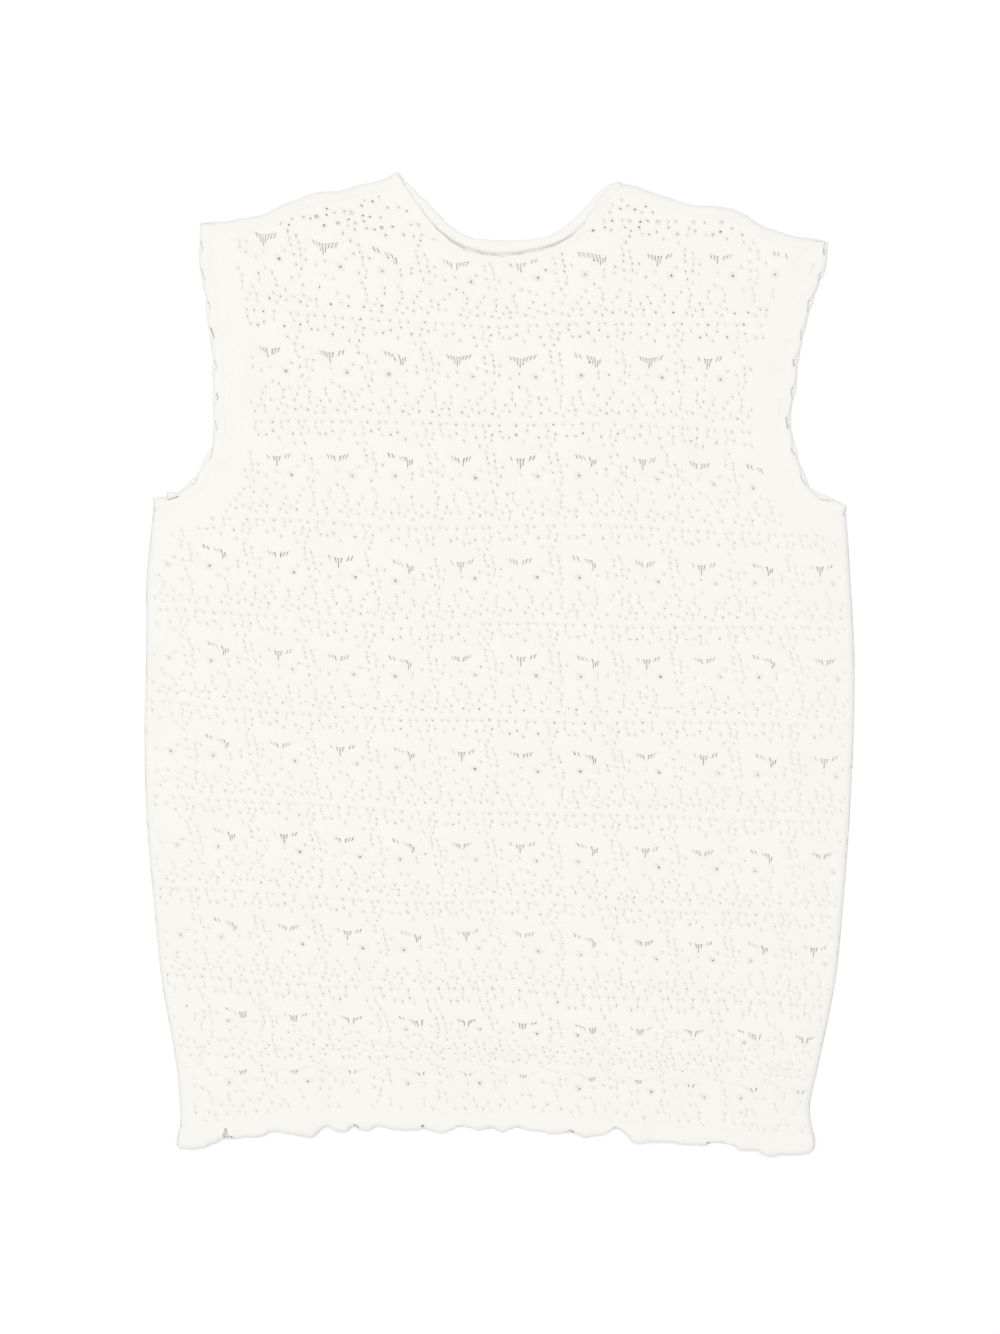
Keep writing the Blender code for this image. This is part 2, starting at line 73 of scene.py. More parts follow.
class Tone:
    """A socket that carries a number, with arithmetic that adds Math nodes."""

    def __init__(self, tree, socket):
        self.tree = tree
        self.socket = socket

    def maths(self, operation, *values):
        node = self.tree.nodes.new("ShaderNodeMath")
        node.operation = operation
        for place, value in zip(node.inputs, values):
            if isinstance(value, Tone):
                self.tree.links.new(value.socket, place)
            else:
                place.default_value = value
        return Tone(self.tree, node.outputs[0])

    def __add__(self, other):
        return self.maths("ADD", self, other)

    __radd__ = __add__

    def __mul__(self, other):
        return self.maths("MULTIPLY", self, other)

    __rmul__ = __mul__

    def __sub__(self, other):
        return self.maths("SUBTRACT", self, other)

    def __rsub__(self, other):
        return self.maths("SUBTRACT", other, self)

    def __abs__(self):
        return self.maths("ABSOLUTE", self)

    def part(self):
        return self.maths("FRACT", self)

    def lower(self, other):
        return self.maths("MINIMUM", self, other)


class Finish:
    """A new material and its Principled BSDF, with one way to add any node."""

    def __init__(self, name, colour, roughness):
        self.material = bpy.data.materials.new(name)
        self.material.use_nodes = True
        self.tree = self.material.node_tree
        self.shader = self.tree.nodes["Principled BSDF"]
        self.shader.inputs["Base Color"].default_value = (*colour, 1.0)
        self.shader.inputs["Roughness"].default_value = roughness
        self.material.diffuse_color = (*colour, 1.0)

    def node(self, kind, settings=None, **sockets):
        node = self.tree.nodes.new(kind)
        for name, value in (settings or {}).items():
            setattr(node, name, value)
        for name, value in sockets.items():
            self.feed(node, name, value)
        return node

    def feed(self, node, name, value):
        place = node.inputs[name]
        if isinstance(value, Tone):
            value = value.socket
        if isinstance(value, bpy.types.NodeSocket):
            self.tree.links.new(value, place)
        else:
            place.default_value = value

    def tone(self, socket):
        return Tone(self.tree, socket)


FLOOR_SIZE = 8.0
FLOOR_DROP = 0.3 * MM
FLOOR_WHITE, FLOOR_ROUGHNESS = (0.93, 0.93, 0.93), 0.9
SURROUND_STRENGTH = 0.65
SOFTBOX_WIDE, SOFTBOX_HIGH, SOFTBOX_WATTS = 3.2, 2.4, 90.0
SOFTBOX_PLACE, SOFTBOX_TURN = (-0.4, 0.3, 4.0), (-4.0, -6.0, 0.0)

bpy.ops.object.select_all(action="DESELECT")
bpy.ops.mesh.primitive_plane_add(size=FLOOR_SIZE, location=(0.0, 0.0, -FLOOR_DROP))
floor = bpy.context.object
floor.name = "floor"
floor.data.materials.append(Finish("floor_white", FLOOR_WHITE, FLOOR_ROUGHNESS).material)

world = bpy.data.worlds.new("surround")
bpy.context.scene.world = world
world.use_nodes = True
surround = world.node_tree.nodes["Background"]
surround.inputs["Color"].default_value = (1.0, 1.0, 1.0, 1.0)
surround.inputs["Strength"].default_value = SURROUND_STRENGTH

softbox_data = bpy.data.lights.new("softbox", "AREA")
softbox_data.shape = "RECTANGLE"
softbox_data.size = SOFTBOX_WIDE
softbox_data.size_y = SOFTBOX_HIGH
softbox_data.energy = SOFTBOX_WATTS
softbox = bpy.data.objects.new("softbox", softbox_data)
bpy.context.scene.collection.objects.link(softbox)
softbox.location = SOFTBOX_PLACE
softbox.rotation_euler = [math.radians(turn) for turn in SOFTBOX_TURN]

bpy.context.scene.view_settings.view_transform = "Standard"
bpy.context.scene.view_settings.look = "None"

# ------------
# Front panel: openwork knitted flat in off-white yarn from a stitch chart, in
# bands of eyelets and open V ladders between raised plain welts. It lies on the
# back in soft lifts, and rolls down round it at the side seams.
# ------------

# The middle of the frame's box, in the tables' axes.
MIDDLE = np.array((0.1, 1.8))

# Side edges, hem to underarm.
SIDES = (
    # y, left x, right x
    (-326.0, -219.5, 216.0), (-310.0, -218.2, 212.8), (-296.4, -218.9, 212.8),
    (-269.1, -221.6, 218.9), (-214.5, -231.2, 229.8), (-159.8, -236.7, 235.3),
    (-105.2, -241.4, 239.4), (-50.5, -242.8, 242.1), (4.1, -241.8, 242.8),
    (58.7, -241.4, 240.1), (102.5, -237.3, 237.3), (112.0, -236.5, 236.8),
)

# Free edges, each in the order in which a counter-clockwise walk meets it.
HEM = (
    # x, y
    (-220.5, -327.0), (-187.0, -322.0), (-154.0, -317.5), (-118.0, -314.5), (-82.0, -314.5),
    (-34.0, -316.0), (2.0, -316.5), (49.0, -318.5), (91.0, -321.5), (137.0, -326.0),
    (176.0, -330.0), (214.5, -332.0),
)
ARMHOLE_RIGHT = (
    # x, y
    (236.6, 108.5), (225.0, 112.5), (214.5, 117.0), (208.5, 125.0), (202.9, 140.0),
    (198.4, 155.0), (197.4, 171.4), (200.5, 190.0), (202.8, 212.4), (208.8, 236.3),
    (214.1, 256.8), (221.5, 273.2), (222.6, 290.0),
)
SHOULDER_RIGHT = (
    # x, y
    (222.6, 290.3), (195.7, 295.7), (179.3, 301.9), (162.9, 311.0), (154.7, 313.6),
    (138.3, 314.9), (121.9, 318.3), (105.5, 323.7), (81.0, 331.5),
)
NECK_BACK = (
    # x, y
    (81.0, 331.3), (72.7, 327.2), (64.5, 320.2), (56.3, 310.8), (48.2, 303.2),
    (40.0, 297.0), (31.8, 293.4), (15.4, 291.2), (-1.0, 291.0), (-17.4, 292.5),
    (-25.6, 295.4), (-33.8, 300.6), (-42.0, 309.0), (-50.2, 317.4), (-58.4, 325.1),
    (-70.0, 337.4),
)
# The front's neck edge, which leaves a strip of the back's inside in view.
NECK_FRONT = (
    # x, y
    (81.0, 331.3), (70.7, 321.7), (63.2, 310.1), (55.0, 299.2), (43.4, 290.3),
    (30.4, 285.2), (14.7, 282.0), (0.3, 280.6), (-14.0, 282.4), (-24.9, 285.8),
    (-35.2, 292.3), (-46.8, 303.3), (-62.5, 325.1), (-70.0, 337.4),
)
SHOULDER_LEFT = (
    # x, y
    (-70.0, 337.6), (-78.2, 333.0), (-91.2, 330.3), (-107.6, 326.0), (-124.0, 323.7),
    (-140.4, 318.6), (-156.8, 311.4), (-173.1, 306.4), (-202.5, 302.6),
)
ARMHOLE_LEFT = (
    # x, y
    (-202.5, 302.4), (-203.6, 275.0), (-199.1, 250.0), (-197.0, 229.5), (-194.3, 205.6),
    (-194.0, 181.7), (-194.3, 156.0), (-198.2, 142.0), (-207.5, 126.8), (-218.0, 117.5),
    (-227.0, 115.0), (-236.4, 113.6),
)

# Where the rows of V ladders stand, at five columns across the vest: a to d
# hold every third ladder, and mid lies halfway between b and c.
LADDERS_X = (
    # a, b, mid, c, d
    (-203.2, -76.2, -6.5, 65.9, 197.0),
    (-197.7, -70.7, -5.8, 61.8, 184.8),
    (-193.0, -66.6, -5.1, 59.1, 178.6),
    (-193.0, -65.2, -5.1, 61.1, 180.0),
    (-191.6, -65.2, -5.1, 60.4, 182.7),
    (-190.9, -65.2, -5.1, 61.1, 182.7),
    (-187.5, -62.5, -5.1, 60.4, 180.7),
    (-184.8, -60.4, -3.1, 60.4, 177.2),
    (-180.0, -58.4, -2.4, 59.8, 171.8),
    (-180.0, -58.0, -2.4, 59.0, 170.0),
    (-178.0, -57.5, -2.4, 58.0, 168.0),
)
LADDERS_Y = (
    # a, b, mid, c, d
    (299.2, 282.6, 272.2, 280.7, 280.0),
    (218.6, 212.4, 209.7, 211.7, 207.6),
    (144.1, 142.1, 142.1, 142.7, 134.6),
    (79.9, 70.3, 71.7, 71.7, 68.3),
    (13.7, 4.1, 6.1, 5.5, 4.1),
    (-49.2, -58.7, -58.7, -60.8, -62.2),
    (-112.7, -120.9, -120.9, -123.6, -127.7),
    (-175.5, -182.4, -181.7, -185.8, -191.2),
    (-235.6, -243.1, -242.5, -246.6, -252.0),
    (-274.6, -275.9, -275.9, -280.0, -286.2),
    (-331.0, -332.0, -332.0, -337.0, -343.0),
)
# Ladders in one repeat: every third stands in the table, and every third leans.
REPEAT = 3
LADDER_SHARES = (0.0, 1.0, 1.5, 2.0, 3.0)
LADDERS_ON = (0.0, 0.325, 0.648, 1.0)
LADDER_ROW = 0.376

# The stitch chart of one band: o small eyelet, O wide eyelet, @ the corner of
# a large eyelet two stitches wide. The band's last three rows are the welt.
WALES, COURSES = 18, 34
CHART = (
    "..................",
    "O..o.o..O..o.o..o.",
    "..................",
    "...o.......o.....o",
    ".O......O.........",
    "....o.O.......O..o",
    ".o........o.......",
    "..................",
    "o..............o..",
    "..................",
    ".................o",
    ".o................",
    ".................o",
    ".o................",
    ".................o",
    ".o.o..............",
    "...............o..",
    ".o.......o.......o",
    "...o.........@....",
    "......o...........",
    "o..............o..",
    "..o..............o",
    ".........o........",
    ".o.........o......",
    ".......o.........o",
    "..o.........o.....",
    ".......o........o.",
    "..o.........o.....",
    ".....o..o......o..",
    "..o........o......",
    "....o.O......o...o",
    ".O........O....O..",
    "...o..o.....o.....",
    "..................",
)
# Every third motif leans: its large eyelet stands on the other side.
LEANING_ROWS = {
    17: ".o..........o....o",
    18: "......@........o..",
    19: "..o.........o.....",
    20: "o.................",
}
# Open slits of a V ladder, one in each wale, parted by single threads.
SLITS = (
    # wale, first course, last course
    (6, 11, 12), (7, 11, 12), (8, 11, 13), (9, 11, 14),
    (10, 11, 13), (11, 11, 12), (12, 11, 12), (13, 11, 12),
)
LEANING_SLITS = (
    # wale, first course, last course
    (5, 11, 12), (6, 11, 12), (7, 11, 12), (8, 11, 13),
    (9, 11, 13), (10, 11, 14), (11, 12, 14), (12, 12, 13),
)
FIRST_WALE, LAST_WALE = -16, 208
BANDS = 11
SHORT_BANDS = {8: 22, 9: 28, 10: 28}

# A V's point: how far its courses dip there, and how its wales draw together.
POINT, LEANING_POINT = 9.5, 10.8
DIP, PINCH, LEAN = 4.0, 0.36, 0.45
DIP_WALES, DIP_ROW, DIP_ROWS = 5.5, 12.3, 5.0
PINCH_WALES, PINCH_ROWS, PINCH_FADES = 4.5, (11.0, 21.0), (2.0, 6.0)
# The chains of eyelets between the V's sway to the left and then to the right.
CHAIN, SWAY, SWAY_WALES = 0.5, 2.5, 3.0
SWAY_ROWS, SWAYS = (3.0, 7.0, 12.0, 17.0, 22.0), (0.0, -0.8, 0.0, 1.0, 0.0)
# Slow waves of the courses (height, length, turn in each band) and of the wales
# (height, length up the vest, length across it).
COURSE_WAVE = (0.7, 31.0, 1.9)
WALE_WAVE = (0.5, 17.0, 70.0)

STITCH_WIDE = 2.36
# Shares of the stitch that small and wide eyelets open, and a large one's radius.
SMALL, WIDE, LARGE = 0.41, 0.6, 1.2
SLIMMER, WIDE_PULL, LARGE_TALL, LARGE_TURN = 0.4, 1.1, 0.95, 0.3
# How eyelets differ by luck: size, turn, length (less by the welts) and place.
SIZES, TURNS, PLACES_X, PLACES_Y = (0.5, 1.3), (-0.5, 0.5), (-0.75, 0.75), (-0.7, 0.7)
LENGTHS, WELT_LENGTHS, BY_WELT = (0.8, 2.1), (0.5, 1.1), 6
# How far the rims of eyelets and the threads sink, as shares of SINK.
SINK, THREAD_SINK = 0.35, 0.7
RIM_SINK = {"o": 0.75, "O": 1.1, "@": 0.2}
# How far plain stitches stand off their places.
UNEVEN_X, UNEVEN_Y = 0.12, 0.1
# Half the width of the thread between two slits, and where the lace lies close.
# It takes at most a share of its slit's narrowest width, in whole steps.
THREAD, CLOSE_THREAD = 0.78, 0.99
THREAD_SHARE, THREAD_STEP = 0.45, 0.05
# A slit lies close by luck, the more so the less the lace is pulled open there.
# One in so many of those has closed up, as have all to the left of an x.
CLOSE_RISE, CLOSE_START = 4.0, 2.3
CLOSED_ONE_IN, SHUT_X = 4, -216.0
# No knitting comes nearer the surface than this.
UNDERSIDE = 0.1
# Rows that have an eyelet more here and there, and how seldom.
EXTRA_ROWS = {2, 4, 6, 24, 26, 28, 30}
EXTRA_SHARE = 0.03
# How far the back sinks under large eyelets, and under every second one by the
# shoulders, so that they show dark.
WELL_DEPTHS = (0.1, 0.9)
CLEAR_Y, CLEAR_DEPTH = 294.0, 0.75
# Eyelets that closed up again: their share near the hem and above it.
DROPPED_Y, DROPPED = (-310.0, -235.0), (0.5, 0.14)


def ramp(values, places, heights):
    """Straight interpolation, carried on past the ends; heights may have columns."""
    values = np.asarray(values, dtype=float)
    places = np.asarray(places, dtype=float)
    heights = np.asarray(heights, dtype=float)
    k = np.clip(np.searchsorted(places, values, side="right") - 1, 0, len(places) - 2)
    share = (values - places[k]) / (places[k + 1] - places[k])
    if heights.ndim > 1:
        share = share[:, None]
    return heights[k] + share * (heights[k + 1] - heights[k])


def smooth_line(points, step):
    """Points about step apart on a smooth curve through the given ones."""
    knots = np.array(points, dtype=float)
    knots = np.vstack([2 * knots[0] - knots[1], knots, 2 * knots[-1] - knots[-2]])
    found = [knots[1:2]]
    for p, q, r, s in zip(knots, knots[1:], knots[2:], knots[3:]):
        pieces = max(1, round(np.linalg.norm(r - q) / step))
        t = np.arange(1, pieces + 1)[:, None] / pieces
        straight = 2 * q + (r - p) * t
        bend = (2 * p - 5 * q + 4 * r - s) * t**2 + (3 * q - p - 3 * r + s) * t**3
        found.append((straight + bend) / 2)
    return np.vstack(found)


def inward(line):
    """Unit normals to the left of the line's direction, which is into the vest."""
    way = np.gradient(line, axis=0)
    way /= np.linalg.norm(way, axis=1)[:, None]
    return np.column_stack([-way[:, 1], way[:, 0]])


def along(line):
    """Length of the line up to each of its points."""
    steps = np.linalg.norm(np.diff(line, axis=0), axis=1)
    return np.concatenate([[0.0], np.cumsum(steps)])


def inset(line, distance):
    return line + distance * inward(line)


# A line goes straight on this far past each of its ends.
REACH = 60.0


def depth_from(points, line):
    """How far each point lies in from a line, and the line's nearest point."""
    start = line[0] + REACH * (line[0] - line[1]) / np.linalg.norm(line[0] - line[1])
    end = line[-1] + REACH * (line[-1] - line[-2]) / np.linalg.norm(line[-1] - line[-2])
    line = np.vstack([start, line, end])
    nearest = np.full(len(points), np.inf)
    depth = np.full(len(points), np.inf)
    place = np.zeros((len(points), 2))
    for a, b in zip(line, line[1:]):
        ab = b - a
        share = np.clip((points - a) @ ab / (ab @ ab), 0.0, 1.0)
        foot = a + share[:, None] * ab
        away = points - foot
        distance = np.linalg.norm(away, axis=1)
        closer = distance < nearest
        side = np.sign(ab[0] * away[:, 1] - ab[1] * away[:, 0])
        nearest[closer] = distance[closer]
        depth[closer] = (side * distance)[closer]
        place[closer] = foot[closer]
    return depth, place


def wales_and_courses():
    """Each line of stitches: its wale numbers, and its courses' band and chart row."""
    wales = np.arange(FIRST_WALE, LAST_WALE + 1)
    rows = []
    for band in range(-1, BANDS):
        courses = SHORT_BANDS.get(band, COURSES)
        for k in range(courses):
            rows.append((band, k * COURSES / courses, COURSES / courses))
    return wales, rows


def lattice(shift):
    """Places of the stitch corners: arrays of x and y, a row for each course line."""
    wales, rows = wales_and_courses()
    ladder = (wales - WALES / 2 - 0.5) / WALES
    step = np.floor(ladder / REPEAT)
    share = step + ramp(ladder - REPEAT * step, range(REPEAT + 1), LADDERS_ON)
    weights = ramp(share, LADDER_SHARES, np.eye(len(LADDER_SHARES)))
    height = np.array([band + row / COURSES for band, row, _ in rows])
    places = np.arange(len(LADDERS_Y)) + LADDER_ROW
    x = ramp(height, places, LADDERS_X) @ weights.T
    y = ramp(height, places, LADDERS_Y) @ weights.T
    rise, length, change = COURSE_WAVE
    y = y + rise * np.sin(x / length + change * height[:, None]) + shift[1]
    rise, length, change = WALE_WAVE
    x = x + rise * np.sin(y / length + x / change) + shift[0]

    motif = np.floor(wales / WALES)
    leaning = motif % REPEAT == 0
    off = wales - WALES * motif - np.where(leaning, LEANING_POINT, POINT)
    row = np.array([row for _, row, _ in rows])[:, None]
    dip = np.clip(1 - np.abs(off) / DIP_WALES, 0, 1)
    dip = dip * np.exp(-(((row - DIP_ROW) / DIP_ROWS) ** 2))
    drawn = np.clip((row - PINCH_ROWS[0]) / PINCH_FADES[0], 0, 1)
    drawn = drawn * np.clip((PINCH_ROWS[1] - row) / PINCH_FADES[1], 0, 1)
    drawn = drawn * np.exp(-((off / PINCH_WALES) ** 2)) * STITCH_WIDE
    x = x + drawn * (LEAN * leaning - PINCH * off)
    chain = (wales - CHAIN + WALES / 2) % WALES - WALES / 2
    sway = np.interp(row, SWAY_ROWS, SWAYS)
    x = x + SWAY * sway * np.exp(-((chain / SWAY_WALES) ** 2))
    return x, y - DIP * dip


def charted():
    """The chart laid over the whole lattice: eyelet marks and the ladders' slits."""
    wales, rows = wales_and_courses()
    columns = [(i, *divmod(int(wale), WALES)) for i, wale in enumerate(wales[:-1])]
    marks = np.full((len(rows) - 1, len(columns)), ".", dtype="<U1")
    starts = {}
    for j, (band, row, step) in enumerate(rows[:-1]):
        for r in range(COURSES):
            if row <= r < row + step:
                starts[band, r] = j
                for i, motif, column in columns:
                    line = LEANING_ROWS.get(r, CHART[r]) if motif % REPEAT == 0 else CHART[r]
                    if line[column] != ".":
                        marks[j, i] = line[column]
    slits = []
    for band in range(-1, BANDS):
        for i, motif, column in columns:
            for at, first, last in LEANING_SLITS if motif % REPEAT == 0 else SLITS:
                if at == column and (band, last) in starts:
                    slits.append((i, starts[band, first], starts[band, last]))
    return marks, slits


def spread(mask, reach):
    """Share of marked cells within reach of each lattice corner."""
    height, width = mask.shape
    padded = np.pad(mask.astype(float), reach)
    total = np.cumsum(np.cumsum(padded, axis=0), axis=1)
    total = np.pad(total, ((1, 0), (1, 0)))
    size = 2 * reach
    top, left = np.arange(height + 1), np.arange(width + 1)
    square = (
        total[np.ix_(top + size, left + size)]
        - total[np.ix_(top, left + size)]
        - total[np.ix_(top + size, left)]
        + total[np.ix_(top, left)]
    )
    return square / size**2


RIPPLE_BEND, RIPPLE_CROSS, HUMP_FALL = 0.9, 0.37, 1.5


def turned(x, y, degrees):
    """The same places, read off axes that are turned by so many degrees."""
    c, s = math.cos(math.radians(degrees)), math.sin(math.radians(degrees))
    return x * c + y * s, y * c - x * s


def ripples(x, y, waves):
    """Soft uneven rise and fall: a sum of slow waves of given length, turn and height."""
    found = np.zeros_like(x)
    for length, turn, height, phase in waves:
        u, v = turned(x, y, turn)
        u, v = u / length, v / length
        found += height * np.sin(u + phase + RIPPLE_BEND * np.sin(RIPPLE_CROSS * v + 2 * phase))
    return found


YARN_ROUGHNESS, YARN_SHEEN, SHEEN_ROUGHNESS, YARN_SPECULAR = 0.92, 0.25, 0.6, 0.2
# Relief of a stitch: its legs, its slanting loops and the fuzz of the yarn.
LEG_RELIEF, LOOP_RELIEF, LOOP_SLANT = 0.6, 0.5, 1.1
FUZZ_RELIEF, FUZZ_SCALE, FUZZ_DETAIL = 0.5, 1500.0, 2.0
STITCH_DEPTH, RELIEF_STRENGTH = 0.22, 0.5
# How much darker the yarn is in random patches, and how much shade is painted into the grooves
# between legs.
PATCH_DARK, PATCH_SCALE, PATCH_DETAIL, GROOVE_PAINTED_SHADE = 0.035, 38.0, 3.0, 0.015


def knitting(name, colour):
    """Matt yarn in stocking stitch. The UV map counts wales across and courses up."""
    finish = Finish(name, colour, YARN_ROUGHNESS)
    shader = finish.shader
    shader.inputs["Sheen Weight"].default_value = YARN_SHEEN
    shader.inputs["Sheen Roughness"].default_value = SHEEN_ROUGHNESS
    shader.inputs["Specular IOR Level"].default_value = YARN_SPECULAR
    stitches = finish.node("ShaderNodeUVMap", {"uv_map": "stitches"})
    split = finish.node("ShaderNodeSeparateXYZ", Vector=stitches.outputs["UV"])
    wale = finish.tone(split.outputs["X"]).part()
    course = finish.tone(split.outputs["Y"])
    middle = abs(wale - 0.5)
    legs = 1.0 - abs(middle * 4.0 - 1.0)
    loops = abs((course + middle * LOOP_SLANT).part() - 0.5) * 2.0
    place = finish.node("ShaderNodeTexCoord").outputs["Object"]
    noise = "ShaderNodeTexNoise"
    fuzz = finish.node(noise, Vector=place, Scale=FUZZ_SCALE, Detail=FUZZ_DETAIL)
    stitch = legs * LEG_RELIEF + loops.lower(legs) * LOOP_RELIEF
    stitch = stitch + finish.tone(fuzz.outputs["Fac"]) * FUZZ_RELIEF
    bump = finish.node(
        "ShaderNodeBump", Height=stitch, Strength=RELIEF_STRENGTH, Distance=STITCH_DEPTH * MM
    )
    finish.feed(shader, "Normal", bump.outputs["Normal"])
    # The base colour darkens in random patches, and has painted shade in the grooves between the
    # stitch legs.
    patch = finish.node(noise, Vector=place, Scale=PATCH_SCALE, Detail=PATCH_DETAIL)
    yarn_tone_and_painted_shade = 1.0 - finish.tone(patch.outputs["Fac"]) * PATCH_DARK - (1.0 - legs) * GROOVE_PAINTED_SHADE
    mixed = finish.node("ShaderNodeMix", {"data_type": "RGBA", "blend_type": "MULTIPLY"})
    mixed.inputs["Factor"].default_value = 1.0
    mixed.inputs[6].default_value = (*colour, 1.0)
    shade = finish.node("ShaderNodeCombineColor", Red=yarn_tone_and_painted_shade, Green=yarn_tone_and_painted_shade, Blue=yarn_tone_and_painted_shade)
    finish.tree.links.new(shade.outputs["Color"], mixed.inputs[7])
    finish.feed(shader, "Base Color", mixed.outputs[2])
    return finish.material


def sheet_object(name, points, faces, stitches, material):
    """A sheet of knitting, still without thickness; stitches counts wale and course."""
    mesh = bpy.data.meshes.new(name)
    points = np.asarray(points, dtype=float)
    points[:, :2] -= MIDDLE
    mesh.from_pydata((points * MM).tolist(), [], faces)
    layer = mesh.uv_layers.new(name="stitches")
    corners = np.zeros(len(mesh.loops), dtype=np.int32)
    mesh.loops.foreach_get("vertex_index", corners)
    layer.data.foreach_set("uv", np.asarray(stitches, dtype=float)[corners].ravel())
    mesh.materials.append(material)
    piece = bpy.data.objects.new(name, mesh)
    bpy.context.scene.collection.objects.link(piece)
    return piece


def pick(piece):
    bpy.ops.object.select_all(action="DESELECT")
    bpy.context.view_layer.objects.active = piece
    piece.select_set(True)


def in_edit_mode(operator, **settings):
    bpy.ops.object.mode_set(mode="EDIT")
    operator(**settings)
    bpy.ops.object.mode_set(mode="OBJECT")


def thicken(piece, thickness, flat_under=False):
    """Give the sheet its wall, inwards from the face that shows, above the surface."""
    pick(piece)
    count = len(piece.data.vertices)
    bpy.ops.object.modifier_add(type="SOLIDIFY")
    wall = piece.modifiers[-1]
    wall.thickness = thickness * MM
    wall.offset = -1.0
    bpy.ops.object.modifier_apply(modifier=wall.name)
    corners = piece.data.vertices
    for outer, inner in zip(corners[:count], corners[count:]):
        if flat_under:
            inner.co = (outer.co.x, outer.co.y, UNDERSIDE * MM)
        elif inner.co.z < UNDERSIDE * MM:
            inner.co.z = UNDERSIDE * MM
    piece.data.shade_smooth()


def crisp(piece, lines):
    """No shading runs round the cut between two stretches, at these course lines."""
    mesh = piece.data
    corners = np.zeros(len(mesh.loops), dtype=np.int32)
    mesh.loops.foreach_get("vertex_index", corners)
    stitch = np.zeros(2 * len(corners), dtype=np.float32)
    mesh.uv_layers["stitches"].data.foreach_get("uv", stitch)
    course = np.zeros(len(mesh.vertices))
    course[corners] = stitch[1::2]
    ends = np.zeros(2 * len(mesh.edges), dtype=np.int32)
    mesh.edges.foreach_get("vertices", ends)
    cut = np.isin(np.round(course[ends.reshape(-1, 2)], 3), lines).all(axis=1)
    mesh.attributes.new("sharp_edge", "BOOLEAN", "EDGE").data.foreach_set("value", cut)


def open_slits(piece, first_face, threads):
    """Turn the tall faces of the ladders into slits, each parted by its own thread."""
    pick(piece)
    mesh = piece.data
    end = first_face + len(threads)
    for thread in np.unique(threads):
        chosen = np.zeros(len(mesh.polygons), dtype=bool)
        chosen[first_face:end] = threads == thread
        mesh.vertices.foreach_set("select", np.zeros(len(mesh.vertices), dtype=bool))
        mesh.edges.foreach_set("select", np.zeros(len(mesh.edges), dtype=bool))
        mesh.polygons.foreach_set("select", chosen)
        in_edit_mode(bpy.ops.mesh.select_mode, type="FACE")
        in_edit_mode(
            bpy.ops.mesh.inset,
            thickness=thread * THREAD_STEP * MM,
            depth=-THREAD_SINK * SINK * MM,
            use_individual=True,
            use_even_offset=False,
        )
    chosen = np.zeros(len(mesh.polygons), dtype=bool)
    chosen[first_face:end] = True
    mesh.polygons.foreach_set("select", chosen)
    in_edit_mode(bpy.ops.mesh.delete, type="FACE")


def middles(corners):
    """The middle of each cell of a lattice, from its four corners."""
    return (corners[1:, 1:] + corners[:-1, 1:] + corners[1:, :-1] + corners[:-1, :-1]) / 4


